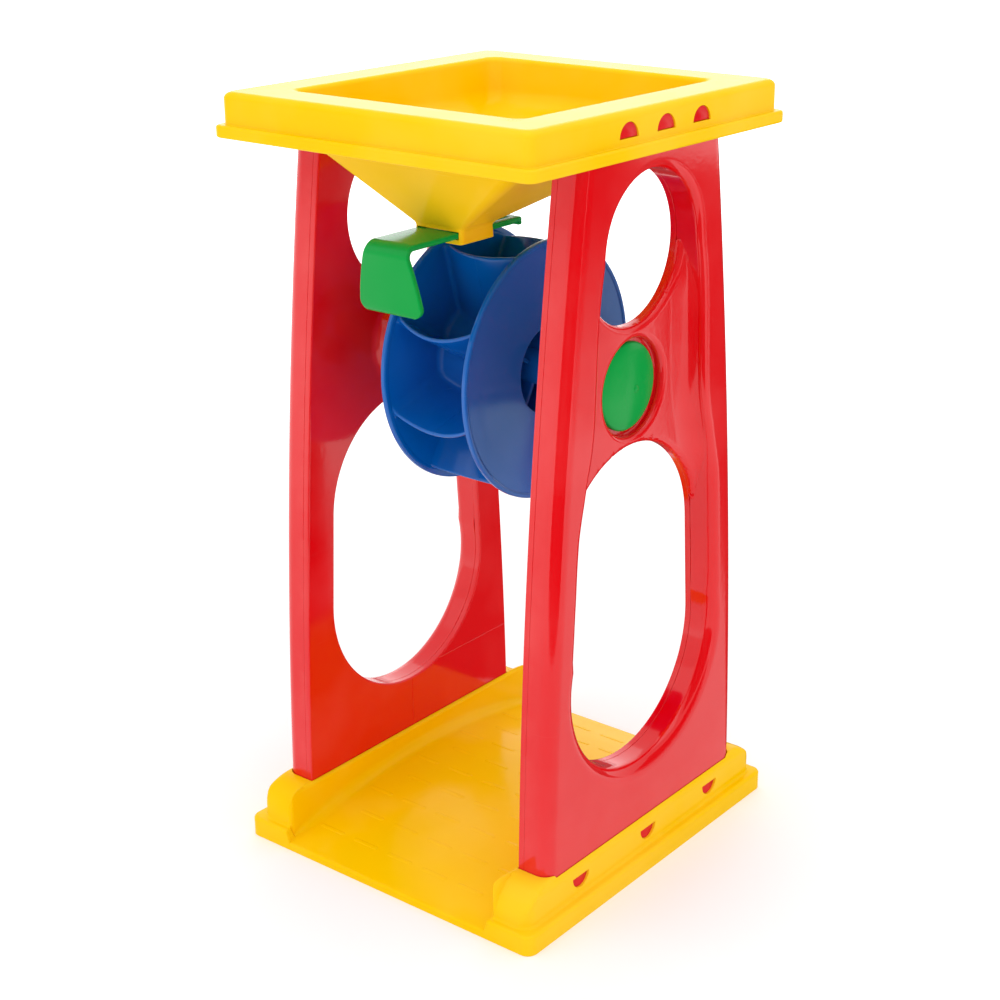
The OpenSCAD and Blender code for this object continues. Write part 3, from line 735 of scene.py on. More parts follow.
def tab_row_tree():
    tree, given, made = geometry_tree("tab_row", (
        ("Count", "Int"), ("Pitch", "Float"), ("Radius", "Float"), ("Thickness", "Float"),
        ("Turn", "Vector"), ("Place", "Vector")))
    take = given.outputs
    arc = fed(tree, "GeometryNodeCurveArc", {
        "Resolution": 25, "Sweep Angle": math.pi, "Radius": take["Radius"]}, mode="RADIUS")
    shut = fed(tree, "GeometryNodeSetSplineCyclic", {"Geometry": arc.outputs[0], "Cyclic": True})
    fill = fed(tree, "GeometryNodeFillCurve", {"Curve": shut.outputs[0]}, mode="NGONS")
    thick = fed(tree, "GeometryNodeExtrudeMesh", {"Mesh": fill.outputs[0], "Offset Scale": take["Thickness"]})
    crown = fed(tree, "GeometryNodeExtrudeMesh", {
        "Mesh": thick.outputs["Mesh"], "Selection": thick.outputs["Top"], "Offset Scale": 0.35 * MM})
    tab = fed(tree, "GeometryNodeScaleElements", {
        "Geometry": crown.outputs["Mesh"], "Selection": crown.outputs["Top"], "Scale": 0.9})
    step = fed(tree, "ShaderNodeCombineXYZ", {"Y": take["Pitch"]})
    line = fed(tree, "GeometryNodeMeshLine", {
        "Count": take["Count"], "Offset": step.outputs[0], "Start Location": take["Place"]}, mode="OFFSET")
    row = realized(tree, line.outputs[0], tab.outputs[0], take["Turn"])
    return close_tree(tree, given, made, row)


def run_tree(name, tree, values, start_mesh=None):
    """Runs a node tree on a mesh and returns the plain mesh that it makes."""
    obj = placed(name, start_mesh or bpy.data.meshes.new(name))
    work = obj.modifiers.new("nodes", "NODES")
    work.node_group = tree
    for item in tree.interface.items_tree:
        if item.in_out == "INPUT" and item.name in values:
            work[item.identifier] = values[item.name]
    bpy.context.view_layer.update()
    return evaluated(obj)


TAB_ROW = tab_row_tree()
QUARTER = math.pi / 2
# Each row: its name, its pitch, where its back and its flat edge lie, and whether the round side is up.
TAB_ROWS = (("head", 28.0, 86.4, 368.45, 1), ("foot", 56.0, 84.6, 20.6, -1))
for side, s in (("right", 1), ("left", -1)):
    for row, pitch, x, z, up in TAB_ROWS:
        mesh = run_tree(f"{side}_{row}_tabs", TAB_ROW, {
            "Count": 3, "Pitch": pitch * MM, "Radius": (6.55 + 0.25 * up) * MM, "Thickness": 1.6 * MM,
            "Turn": (up * QUARTER, 0.0, s * up * QUARTER),
            "Place": (s * x * MM, (0.75 + 0.75 * up - pitch) * MM, z * MM), "Material": SHADED_TAB_RED})
        finish_piece(f"{side}_{row}_tabs", mesh, SHADED_TAB_RED, "stand", [])

# %% [markdown]
# ## Axle caps
# A green button closes each end of the axle. It is a shallow dome with a rounded shoulder, and a small
# pip beside the middle is left from where the plastic ran into the mould. The dome is round about the
# axle, so one half section, turned, makes it; the pip is a small loft of its own.

# %% Domed caps
CAP_R, CAP_X, CAP_CROWN, CAP_BACK = 21.3, 71.5, 1.5, 69.75
PIP_Y, PIP_DROP, PIP_AWAY = 4.2, 1.8, 4.6


def dome(r):
    return CAP_X + CAP_CROWN * (1 - (r / CAP_R) ** 2)


def cap_skin():
    skin = Skin()
    profile = [(r, dome(r)) for r in np.linspace(0.6, 17, 10)]
    profile += soften([(18, dome(18)), (CAP_R, CAP_X - 0.15), (CAP_R, CAP_BACK + 0.05)], [0, 1.1, 0], 6, 0.3)
    profile += [(CAP_R, CAP_BACK), (2.5, CAP_BACK), (2.5, 60.0)]
    skin.close(skin.revolve(profile))
    turns = np.linspace(0, 2 * math.pi, 25)[:-1]
    x, z = dome(PIP_AWAY), AXLE_Z - PIP_DROP
    skin.bar([[(x + h, PIP_Y + r * math.cos(a), z + r * math.sin(a)) for a in turns]
              for r, h in ((2.0, -0.5), (1.9, 0.0), (1.6, 0.3), (1.1, 0.5), (0.5, 0.58))])
    return skin


finish_pair("{}_cap", cap_skin(), GREEN, "stand", "{}_axle_cap")
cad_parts["axle"].data.materials.clear()
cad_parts["axle"].data.materials.append(GREEN)

# %% [markdown]
# ## Paddle wheel
# The wheel is moulded in two halves that meet in the middle. Each paddle is a cup: it sags by 7 mm
# between the side plates, so that it holds the sand. A pocket's section runs down one paddle, through
# a fillet, along the hub, and up the next paddle. Near the side plate the section shrinks along a
# quarter circle, which is how a ball rolled into that corner would round it. One pocket is enough; a
# node tree turns it eight times about the axle.

# %% One pocket of a wheel half
PADDLES, SIDE_X, CUP, TIP = 8, 23.4, 7.0, 60.0
HUB_R, PADDLE_HALF, FILLET, BALL, NICK, SAG_R = 23.5, 1.0, 3.4, 3.0, 0.12, 27.0


def pocket_side(shrink, tip, shift, until):
    """One side of a pocket as (along, across) of its paddle, which has sagged across by a shift."""
    thick, hub = PADDLE_HALF + shrink, HUB_R + shrink
    fillet = max(FILLET - shrink, 0.5)
    out = [(tip - 1.0 * (1 - math.cos(b)), shift + thick * math.sin(b))
           for b in np.radians([0, 18, 36, 54, 72, 90])]
    off = shift + thick + fillet
    reach = math.sqrt((hub + fillet) ** 2 - off ** 2)
    out += [(t, shift + thick) for t in np.linspace(tip - 1.8, reach + 0.5, 9)]
    turn = math.atan2(off, reach)
    for b in np.linspace(math.pi / 2, turn, 7):
        out.append((reach - fillet * math.cos(b), off - fillet * math.sin(b)))
    for b in np.linspace(turn, until, 6)[1:]:
        out.append((hub * math.cos(b), hub * math.sin(b)))
    return out


def pocket_skin():
    skin = Skin()
    turn = 2 * math.pi / PADDLES
    c, s = math.cos(turn), math.sin(turn)
    corner = [BALL * (1 - math.cos(math.radians(a))) for a in (0, 10, 20, 30, 42, 54, 66, 78, 90)]
    stations = [0.0, 0.12, 0.6, *np.linspace(2.0, SIDE_X - BALL - 0.8, 14)]
    stations += [SIDE_X - d for d in reversed(corner)]
    rings = []
    for x in stations:
        nick = NICK if x == 0 else 0.0
        shrink, sag = roll(SIDE_X - x, BALL) - nick, -CUP * (1 - (x / SIDE_X) ** 2)
        split = turn / 2 + sag / SAG_R
        here = pocket_side(shrink, TIP - nick, sag, split)
        next_one = pocket_side(shrink, TIP - nick, -sag, turn - split)
        far = [(a * c + b * s, a * s - b * c) for a, b in reversed(next_one[:-1])]
        rings.append([(x, -a, b) for a, b in here + far])
    skin.loft(rings, closed=False)
    return skin


POCKET = pocket_skin()
print("pocket:", len(POCKET.points), "points")

# %% [markdown]
# The tree below takes any mesh that is drawn about the origin, repeats it round the X axis and lifts
# it to the axle. Neighbouring pockets share their border, so merging close points closes the barrel.

# %% Repeating a sector round the axle
def turned_tree():
    tree, given, made = geometry_tree("turned_sectors", (
        ("Count", "Int"), ("First angle", "Float"), ("Axle height", "Float")))
    take = given.outputs
    points = fed(tree, "GeometryNodePoints", {"Count": take["Count"]})
    step = math_node(tree, "DIVIDE", 2 * math.pi, take["Count"])
    angle = math_node(tree, "MULTIPLY", step, node(tree, "GeometryNodeInputIndex").outputs[0])
    angle = total(tree, angle, take["First angle"])
    turn = fed(tree, "ShaderNodeCombineXYZ", {"X": scaled(tree, angle, -1.0)})
    ring = realized(tree, points.outputs[0], take["Geometry"], turn.outputs[0])
    lift = fed(tree, "ShaderNodeCombineXYZ", {"Z": take["Axle height"]})
    move = fed(tree, "GeometryNodeTransform", {"Geometry": ring, "Translation": lift.outputs[0]})
    weld = fed(tree, "GeometryNodeMergeByDistance", {"Geometry": move.outputs[0], "Distance": WELD * MM})
    return close_tree(tree, given, made, weld.outputs[0])


def skin_of(mesh):
    skin = Skin()
    skin.points = [tuple(c / MM for c in v.co) for v in mesh.vertices]
    skin.faces = [tuple(p.vertices) for p in mesh.polygons]
    bpy.data.meshes.remove(mesh)
    return skin


TURNED = turned_tree()
START = math.radians(29.0)
print("tree:", TURNED.name, "has", len(TURNED.nodes), "nodes")


def turned(name, skin, count):
    values = {"Count": count, "First angle": START, "Axle height": AXLE_Z * MM, "Material": BLUE}
    return skin_of(run_tree(name, TURNED, values, build_mesh(name, skin)))


# %% [markdown]
# The side plate is a shallow dish with a bead round its rim, and the hub is a tube with a bearing
# tube inside, held by four ribs. The plate and both tubes are round, so they are turned sections; the
# four ribs use the same tree as the pockets.

# %% Side plate, hub and ribs
WHEEL_R, PLATE_OUT, MIDDLE = 63.0, 26.0, 0.1


def plate_skin():
    skin = Skin()
    hub_in, hub_out, rim_in = 21.5, 22.5, 23.2
    path = [(hub_in, MIDDLE), (hub_in, 25.5), (43, 24.4), (60.6, 25.4), (61.0, PLATE_OUT),
            (WHEEL_R, PLATE_OUT), (WHEEL_R, rim_in), (60.8, rim_in),
            (TIP, SIDE_X), (hub_out, SIDE_X), (hub_out, MIDDLE)]
    cuts = [0, 1.0, 9.0, 0.3, 0.45, 0.9, 0.9, 0.5, 0.4, 0, 0]
    skin.revolve(soften(path, cuts, 6, 0.4), 128)
    bore, sleeve = 5.06, 8.5
    tube = [(bore, MIDDLE), (bore, PLATE_OUT), (sleeve, PLATE_OUT), (sleeve, MIDDLE)]
    skin.revolve(soften(tube, [0, 0.4, 0.6, 0], 4, 0.3), 64)
    return skin


def rib_skin():
    skin = Skin()
    half, deep = 1.0, 19.0
    section = soften([(-half, MIDDLE), (-half, deep), (half, deep), (half, MIDDLE)], [0, 0.7, 0.7, 0], 4, 0.4)
    skin.loft([[(x, -r, w) for w, x in section] for r in (8.2, 22.2)], closed=False)
    return skin


def wheel_half_skin():
    skin = plate_skin()
    skin.add(turned("pockets", POCKET, PADDLES))
    skin.add(turned("hub_ribs", rib_skin(), 4))
    return skin


finish_pair("wheel_{}", wheel_half_skin(), BLUE, "wheel", "wheel_{}_half")

# %% [markdown]
# ## Hopper
# The hopper is one moulding of even wall: throat, funnel, well, rim, skirt and lip. Each is a rounded
# rectangle at its own height, so the whole hopper is a loft that runs up the inside, over the rim and
# down the outside back to the throat. The corner list below is that journey, and `soften` rounds it.

# %% Hopper loft
def corner_arcs(w, d, r, steps):
    """The corner arcs of a rounded rectangle, each with the angle in degrees that it starts from."""
    for sx, sy, start in ((1, 1, 0), (-1, 1, 90), (-1, -1, 180), (1, -1, 270)):
        px, py = sx * (w / 2 - r), sy * (d / 2 - r)
        turns = np.radians(np.linspace(start, start + 90, steps + 1))
        yield start, [(px + r * math.cos(a), py + r * math.sin(a)) for a in turns]


def rect_ring(w, d, cy, r, z, steps=7, guard=0.6):
    out = []
    for start, arc in corner_arcs(w, d, r, steps):
        a, b = math.radians(start - 90), math.radians(start + 180)
        before = (arc[0][0] + guard * math.cos(a), arc[0][1] + guard * math.sin(a))
        after = (arc[-1][0] + guard * math.cos(b), arc[-1][1] + guard * math.sin(b))
        out += [before] + arc + [after]
    return [(x, y + cy, z) for x, y in out]


SPOUT_Y, SPOUT_LOW, SPOUT_TOP = -37.9, 315.6, 322.6
LIP_TOP, LIP_LOW, RIM_UNDER = 365.3, 359.5, 378.0
THROAT, SPOUT, WELL = (20.0, 19.4), (28.4, 23.4), (132.0, 143.6)
BODY, LIP, SKIRT = (177.6, 189.2), (184.0, 195.4), (172.8, 185.0)


def hopper_skin():
    """Each corner of the path: width, depth, middle in Y, radius of the rectangle's corners, height."""
    skin = Skin()
    path = [(*THROAT, SPOUT_Y, 1.2, SPOUT_LOW), (*THROAT, SPOUT_Y, 1.6, SPOUT_TOP),
            (126.5, 136.6, 0, 7.0, 360.0), (*WELL, 0, 6.0, RIM_Z),
            (*BODY, 0, 4.2, RIM_Z), (*BODY, 0, 4.2, LIP_TOP),
            (*LIP, 0, 4.6, LIP_TOP), (*LIP, 0, 4.6, LIP_LOW),
            (*SKIRT, 0, 3.0, LIP_LOW), (*SKIRT, 0, 3.0, RIM_UNDER),
            (136.0, 147.6, 0, 8.0, RIM_UNDER), (130.5, 140.6, 0, 9.0, 358.0),
            (*SPOUT, SPOUT_Y, 2.6, SPOUT_TOP), (*SPOUT, SPOUT_Y, 1.6, SPOUT_LOW)]
    cuts = [0.5, 1.5, 5.0, 2.0, 3.2, 0.5, 1.2, 1.0, 0.4, 1.5, 2.0, 5.0, 1.5, 0.7]
    stations = soften(path, cuts, 7, 0.6, (0.5, 0.0, 0.0, 0.0, 1.0), closed=True)
    skin.loft([rect_ring(w, d, cy, r, z) for w, d, cy, r, z in stations], tube=True)
    return skin


HOPPER = hopper_skin()
print("hopper loft:", len(HOPPER.points), "points")

# %% [markdown]
# The windows for the snap tabs and the channel for the gate are cut out last, with plain bars whose
# outline is a half round or a rectangle.

# %% Channel and windows of the hopper
def prism(points, low, high):
    """A closed bar along X with a flat (y, z) outline."""
    skin = Skin()
    skin.bar([[(x, y, z) for y, z in points] for x in (low, high)])
    return skin


def half_round(cy, z, r, up):
    return [(cy + r * math.cos(a), z + up * r * math.sin(a)) for a in np.linspace(0, math.pi, 25)]


def block(x, y, z):
    """A box from its limits along X, Y and Z."""
    return prism([(y[0], z[0]), (y[1], z[0]), (y[1], z[1]), (y[0], z[1])], *x)


def windows(cutter, places, z, r, up, x0, x1):
    """Adds a row of half-round windows on both sides of the toy to a cutter."""
    for s in (-1, 1):
        for y in places:
            cutter.add(prism(half_round(y, z, r, up), *sorted((s * x0, s * x1))))
    return cutter


def hopper_cuts():
    channel = block(x=(-12.4, 12.4), y=(-70.0, -15.0), z=(317.8, 321.4))
    return windows(channel, (-26.5, 1.5, 29.5), z=368.3, r=7.0, up=1, x0=84.0, x1=95.0)


hopper_mesh = cut_away("hopper", build_mesh("hopper", HOPPER), hopper_cuts())
finish_piece("hopper_moulding", hopper_mesh, YELLOW, "stand", ["hopper"])

# %% [markdown]
# ## Gate
# The gate is one strip of plastic bent over at the front. Its section is a flat bar with rounded
# edges; the bar runs along the spout, turns down through the bend and flares into the finger handle,
# whose lower edge bulges. Near its end the section gets narrower along an arc, which rounds the handle's
# corners. A port and a stop edge sit at the hidden end.

# %% Bent gate with its handle
GATE_T, GATE_EDGE, GATE_W, GATE_TAIL, GATE_Z = 2.8, 0.8, 24.2, -3.5, 319.6
BEND, BEND_Y, LEAN = 5.0, -79.0, math.radians(96)
HANDLE, HANDLE_CORNER, SHOULDER, BULGE, BULGE_HALF = 27.4, 4.5, 3.0, 3.0, 18.0


def bar_section(w, t, r, steps=4):
    return [p for _, arc in corner_arcs(w, t, r, steps) for p in arc]


def gate_station(y, z, normal, w, t, bulge=0.0):
    """The gate's section at a place on its middle line; a bulge raises both sides of it."""
    return [(u, y + normal[0] * v, z + normal[1] * v + bulge * (u / BULGE_HALF) ** 2)
            for u, v in bar_section(w, t, min(GATE_EDGE, t * 0.49))]


def handle_rings():
    n = (-math.sin(LEAN), math.cos(LEAN))
    y, z = BEND_Y + BEND * n[0], GATE_Z - BEND + BEND * n[1]
    spots = list(np.linspace(1.0, HANDLE - HANDLE_CORNER - 0.5, 15))
    spots += [HANDLE - HANDLE_CORNER + HANDLE_CORNER * math.sin(math.radians(a))
              for a in (0, 12, 24, 36, 48, 60, 70, 78, 84, 88)]
    for d in spots:
        f, past, left = d / HANDLE, max(d - (HANDLE - HANDLE_CORNER), 0.0), HANDLE - d
        w = GATE_W + SHOULDER + 16.4 * f - 6.6 * f * f
        w -= 2 * (HANDLE_CORNER - math.sqrt(HANDLE_CORNER ** 2 - past ** 2))
        round_off = math.sqrt(max(GATE_EDGE ** 2 - max(GATE_EDGE - left, 0.0) ** 2, 0.0))
        t = GATE_T - 2 * GATE_EDGE + 2 * round_off
        yield gate_station(y - d * math.cos(LEAN), z - d * math.sin(LEAN), n, w, t, BULGE * f * f)


def gate_skin():
    skin = Skin()
    rings = []
    for d, t in ((0.0, 1.2), (0.12, 1.9), (0.4, 2.5), (GATE_EDGE, GATE_T), (2.0, GATE_T)):
        w = GATE_W - GATE_EDGE * (GATE_EDGE - min(d, GATE_EDGE))
        rings.append(gate_station(GATE_TAIL - d, GATE_Z, (0, 1), w, t))
    for y in np.linspace(GATE_TAIL - 8, BEND_Y + 0.6, 12):
        rings.append(gate_station(y, GATE_Z, (0, 1), GATE_W, GATE_T))
    for a in np.linspace(0, LEAN, 13):
        n = (-math.sin(a), math.cos(a))
        w = GATE_W + SHOULDER * (a / LEAN) ** 2
        rings.append(gate_station(BEND_Y + BEND * n[0], GATE_Z - BEND + BEND * n[1], n, w, GATE_T))
    skin.bar(rings + list(handle_rings()))
    return skin


def stop_skin():
    skin = Skin()
    middle, section = -4.7, bar_section(24.0, 2.4, 0.5)
    skin.bar([[(u * wide, middle + v * thick, z) for u, v in section] for z, wide, thick in (
        (317.2, 0.97, 0.8), (317.35, 0.99, 0.94), (317.7, 1, 1), (319.0, 1, 1))])
    return skin


port = block(x=(-8.5, 8.5), y=(-24.7, -7.9), z=(300.0, 330.0))
gate_mesh = cut_away("gate", build_mesh("gate", gate_skin()), port)
gate = skin_of(gate_mesh)
gate.add(stop_skin())
finish_piece("gate_plate", build_mesh("gate_plate", gate), GREEN, "gate", ["slide_gate"])

# %% [markdown]
# ## Base
# Each rail is a block with a variable edge: a big dome at both ends, a 5.5 mm shoulder outside and a
# tight edge towards the tray, round a socket for the frame. We loft from the wall's outline in to the
# socket and let the radius change on the way round. The ground beside the rails is a gentle terrain:
# the plinth step outside, the arched tray between, and soft coves where they meet the rails.

# %% Rails
ARCH_R = (PLINTH_D ** 2 / 4 + (TRAY_TOP - TRAY_EDGE) ** 2) / (2 * (TRAY_TOP - TRAY_EDGE))
OUTER_EDGE, END_DOME, INNER_EDGE = 5.5, 11.5, 2.2
COVE_OUT, COVE_IN = 1.5, 4.5
TRAY_FADE, STEP_RISE, BLEND = (70, 84), (63.6, 66.4), 1.0
SOCKET_Z, LEDGE_Z, BOX_Z, SOCKET_X, BOX_X, BOX_Y = 25.0, 16.0, 8.2, 86.05, 90.2, 99.5


def rail_loop(x0, x1, half, r_out, r_in, long=24, short=4, arc=8):
    """Rounded outline of a rail seen from above: (x, y) and the direction outwards at each point."""
    corners = ((x1, half, r_out, 0), (x0, half, r_in, 90), (x0, -half, r_in, 180), (x1, -half, r_out, 270))
    arcs = []
    for cx, cy, r, a0 in corners:
        px, py = cx - math.copysign(r, cx - (x0 + x1) / 2), cy - math.copysign(r, cy)
        arcs.append([(px + r * math.cos(a), py + r * math.sin(a), math.cos(a), math.sin(a))
                     for a in np.radians(np.linspace(a0, a0 + 90, arc + 1))])
    out = []
    for k in range(4):
        out += arcs[k]
        a, b = arcs[k][-1], arcs[(k + 1) % 4][0]
        for t in np.linspace(0, 1, (short if k % 2 == 0 else long) + 1)[1:-1]:
            out.append((a[0] + (b[0] - a[0]) * t, a[1] + (b[1] - a[1]) * t, a[2], a[3]))
    return out


def tray(y):
    """Height of the arched tray at a distance from its middle."""
    return TRAY_TOP - ARCH_R + math.sqrt(ARCH_R * ARCH_R - y * y)


def ground(x, y):
    """Height of the base beside the rails: the higher one of tray and plinth, blended softly."""
    arch = tray(y) * (1 - smooth(*TRAY_FADE, abs(x)))
    step = PLINTH_Z * smooth(*STEP_RISE, abs(x))
    return (arch + step + math.sqrt((arch - step) ** 2 + BLEND)) / 2


def rail_skin():
    """A right-hand rail from its foot over the dome into the socket, then down inside to the ground."""
    skin = Skin()
    wall = rail_loop(RAIL_IN, RAIL_OUT, RAIL_END, 7.0, 2.6)
    sock = rail_loop(FACE_IN - 0.3, FACE_OUT + 0.3, half_depth(RAIL_Z) + 0.35, 6.9, 0.8)
    shares = [1 - math.cos(math.radians(a)) for a in np.linspace(0, 90, 17)]
    edge, coves = [], []
    for x, y, nx, ny in wall:
        end, inner = abs(ny) ** 1.5, max(-nx, 0.0)
        edge.append((OUTER_EDGE + END_DOME * end) * (1 - inner) + INNER_EDGE * inner)
        coves.append(COVE_OUT + COVE_IN * inner * smooth(RAIL_END - 2, RAIL_END - 16, abs(y)))
    rings = []
    for a in np.radians(np.linspace(0, 90, 8)):
        out, rise = 1 - math.sin(a), 1 - math.cos(a)
        rings.append([(x + nx * c * out, y + ny * c * out, ground(x + nx * c, y + ny * c) + c * rise)
                      for (x, y, nx, ny), c in zip(wall, coves)])
    for share in shares:
        ring = []
        for (x, y, nx, ny), (sx, sy, _, _), r in zip(wall, sock, edge):
            px, py = x + (sx - x) * share, y + (sy - y) * share
            ring.append((px, py, RAIL_Z - roll(abs((px - x) * nx + (py - y) * ny), r)))
        rings.append(ring)
    last = rings[-1]
    rings.append([(x, y, z - 0.8) for x, y, z in last])
    rings.append([(x, y, SOCKET_Z) for x, y, z in last])
    for wide, half, r, z in ((SOCKET_X, 87.5, 5.0, SOCKET_Z), (SOCKET_X, 95.3, 4.0, LEDGE_Z),
                             (SOCKET_X, 95.5, 4.0, BOX_Z), (BOX_X, BOX_Y, 3.0, BOX_Z),
                             (BOX_X, BOX_Y, 3.0, 0.0)):
        rings.append([(x, y, z) for x, y, _, _ in rail_loop(FACE_IN - 0.25, wide, half, r, 0.8)])
    made = skin.loft(rings)
    return skin, rings[0], made[-1]


RAIL, COLLAR, RAIL_FOOT = rail_skin()
print("rail ring:", len(COLLAR), "points")

# %% [markdown]
# The ground is a terrain between the plinth's border and the two rail feet. Below, the moulding is
# hollow: the tray is a thin arch, and each rail is a box without a floor, open towards the table.

# %% Ground of the base, and its hollow underside
def ground_skin():
    skin = Skin()
    inset, corner = 1.8, 3.6
    half_w, half_d = PLINTH_W / 2 - inset, PLINTH_D / 2 - inset
    border = []
    outline_points = [p[:2] for p in rect_ring(2 * half_w, 2 * half_d, 0, corner, 0)]
    for (x0, y0), (x1, y1) in zip(outline_points, outline_points[1:] + outline_points[:1]):
        n = max(1, int(math.hypot(x1 - x0, y1 - y0) / 2.0))
        border += [(x0 + (x1 - x0) * t / n, y0 + (y1 - y0) * t / n) for t in range(n)]
    right = np.array([p[:2] for p in COLLAR])
    ends = np.roll(right, -1, axis=0)

    def inside(x, y):
        return abs(x) <= half_w and abs(y) <= half_d and not encloses(right, ends, abs(x), y)

    across = [*np.arange(2.5, 60, 5.0), *np.arange(60.4, 63, 0.6), *np.arange(63.2, 67, 0.35)]
    rows = [(float(s * x), float(y)) for y in np.arange(-100, 100.1, 2.5) for s in (-1, 1) for x in across]
    loops = terrain(skin, [border, [tuple(p) for p in right], [(-x, y) for x, y in right]], rows, inside,
                    lambda x, y: (x, y, ground(x, y)))
    made = [loops[0]]
    for a in np.radians([18, 36, 54, 72, 90]):
        ring = []
        for i in loops[0]:
            x, y, z = skin.points[i]
            kx = max(abs(x) - (half_w - corner), 0) * math.copysign(1, x)
            ky = max(abs(y) - (half_d - corner), 0) * math.copysign(1, y)
            k = inset * math.sin(a) / max(math.hypot(kx, ky), 1e-6)
            ring.append((x + kx * k, y + ky * k, z - inset * (1 - math.cos(a))))
        made.append(skin.ring(ring))
    for z, share in ((0.5, 1.0), (0.12, 1.0), (0.0, 0.998)):
        made.append(skin.ring([(x * share, y * share, z) for x, y, _ in ring]))
    for a, b in zip(made, made[1:]):
        skin.strip(a, b)
    return skin, made[-1]


def tray_hollow(skin):
    """The space under the tray's arch; gives back its border on the ground."""
    side, wall, ys = 65.3, 2.2, np.linspace(-BOX_Y, BOX_Y, 61)
    walk = [(side, y) for y in ys] + [(-side, y) for y in reversed(ys)]
    low = skin.ring([(x, y, 0.0) for x, y in walk])
    high = skin.ring([(x, y, tray(y) - wall) for x, y in walk])
    skin.strip(low, high)
    for k in range(len(ys) - 1):
        skin.faces.append((high[k], high[k + 1], high[-2 - k], high[-1 - k]))
    return low


def base_skin():
    skin, foot = ground_skin()
    holes = [tray_hollow(skin)]
    for rail in (RAIL, RAIL.mirrored()):
        holes.append([i + len(skin.points) for i in RAIL_FOOT])
        skin.add(rail)
    skin.lid(foot, *holes)
    return skin


base_cuts = windows(Skin(), (-56, 0, 56), z=20.8, r=6.5, up=-1, x0=85.3, x1=90.0)
base_mesh = cut_away("base", build_mesh("base", base_skin(), weld=0.02), base_cuts)
finish_piece("base_moulding", base_mesh, AMBER, "stand", ["base"])

# %% [markdown]
# ## Tray grips
# Low dashes in staggered rows cross the tray, so that a bucket doesn't slide. One dash is a flat bar
# with a rounded back; a node tree puts it on every point of the rows and leans it with the arch.

# %% Rows of dashes that follow the arch
DASH_HALF, DASH_HIGH, DASH_SHIFT = 1.15, 0.24, 10.5


def dash_skin():
    skin = Skin()
    back = ((-1, -1), (-1, 0.3), (-0.8, 0.8), (-0.5, 1), (0.5, 1), (0.8, 0.8), (1, 0.3), (1, -1))
    stations = ((-8.0, 0.15), (-7.8, 0.6), (-7.2, 0.95), (-6.5, 1.0),
                (6.5, 1.0), (7.2, 0.95), (7.8, 0.6), (8.0, 0.15))
    skin.bar([[(x, DASH_HALF * k * c, DASH_HIGH * k * h) for c, h in back] for x, k in stations])
    return skin


def dash_tree():
    tree, given, made = geometry_tree("tray_dashes", (
        ("Rows", "Int"), ("Columns", "Int"), ("Depth", "Float"), ("Width", "Float"),
        ("Arch radius", "Float"), ("Crown", "Float")))
    take = given.outputs
    grid = fed(tree, "GeometryNodeMeshGrid", {
        "Size X": take["Width"], "Size Y": take["Depth"],
        "Vertices X": take["Columns"], "Vertices Y": take["Rows"]})
    spot = node(tree, "GeometryNodeInputPosition").outputs[0]
    here = fed(tree, "ShaderNodeSeparateXYZ", {"Vector": spot}).outputs
    row = math_node(tree, "MODULO", node(tree, "GeometryNodeInputIndex").outputs[0], take["Rows"])
    odd = math_node(tree, "MODULO", row, 2.0)
    stagger = scaled(tree, math_node(tree, "SUBTRACT", odd, 0.5), DASH_SHIFT * MM)
    lean = math_node(tree, "ARCSINE", math_node(tree, "DIVIDE", here["Y"], take["Arch radius"]), 0.0)
    fall = math_node(tree, "SUBTRACT", math_node(tree, "COSINE", lean, 0.0), 1.0)
    place = fed(tree, "ShaderNodeCombineXYZ", {
        "X": total(tree, here["X"], stagger), "Y": here["Y"],
        "Z": total(tree, take["Crown"], scaled(tree, fall, take["Arch radius"]))})
    keep = node(tree, "GeometryNodeCaptureAttribute")
    keep.capture_items.new("FLOAT", "Lean")
    link(tree, grid.outputs["Mesh"], keep.inputs["Geometry"])
    link(tree, lean, keep.inputs["Lean"])
    arched = fed(tree, "GeometryNodeSetPosition", {
        "Geometry": keep.outputs["Geometry"], "Position": place.outputs[0]})
    turn = fed(tree, "ShaderNodeCombineXYZ", {"X": scaled(tree, keep.outputs["Lean"], -1.0)})
    return close_tree(tree, given, made, realized(tree, arched.outputs[0], take["Geometry"], turn.outputs[0]))


dashes = run_tree("tray_dashes", dash_tree(), {
    "Rows": 10, "Columns": 5, "Depth": 166.5 * MM, "Width": 92.0 * MM, "Arch radius": ARCH_R * MM,
    "Crown": TRAY_TOP * MM, "Material": AMBER}, build_mesh("dash", dash_skin()))
finish_piece("tray_dashes", dashes, AMBER, "stand", [])

# %% [markdown]
# ## Studio
# The toy stands on a wide white floor under a pale sky. White surroundings put the pale sheen on the red
# sides. Floor and sky are brighter where they are looked at, straight or mirrored, than as light on the
# toy, so that the background is white while the colours stay as they are.

# %% Lamps, sheets and paper
def lamp(name, place, aim, size, power):
    data = bpy.data.lights.new(name, "AREA")
    data.shape, data.size, data.energy = "SQUARE", size, power
    obj = placed(name, data)
    obj.location = place
    obj.rotation_euler = (Vector(aim) - Vector(place)).to_track_quat("-Z", "Y").to_euler()
    return obj


def sheet(name, corners, material):
    mesh = bpy.data.meshes.new(name)
    mesh.from_pydata(corners, [], [(0, 1, 2, 3)])
    mesh.materials.append(material)
    return placed(name, mesh)


def in_view(tree):
    """1 where the background is looked at: straight, mirrored or through something clear."""
    path = node(tree, "ShaderNodeLightPath")
    mirrored = math_node(tree, "MAXIMUM", path.outputs["Is Glossy Ray"], path.outputs["Is Transmission Ray"])
    return math_node(tree, "MAXIMUM", path.outputs["Is Camera Ray"], mirrored)


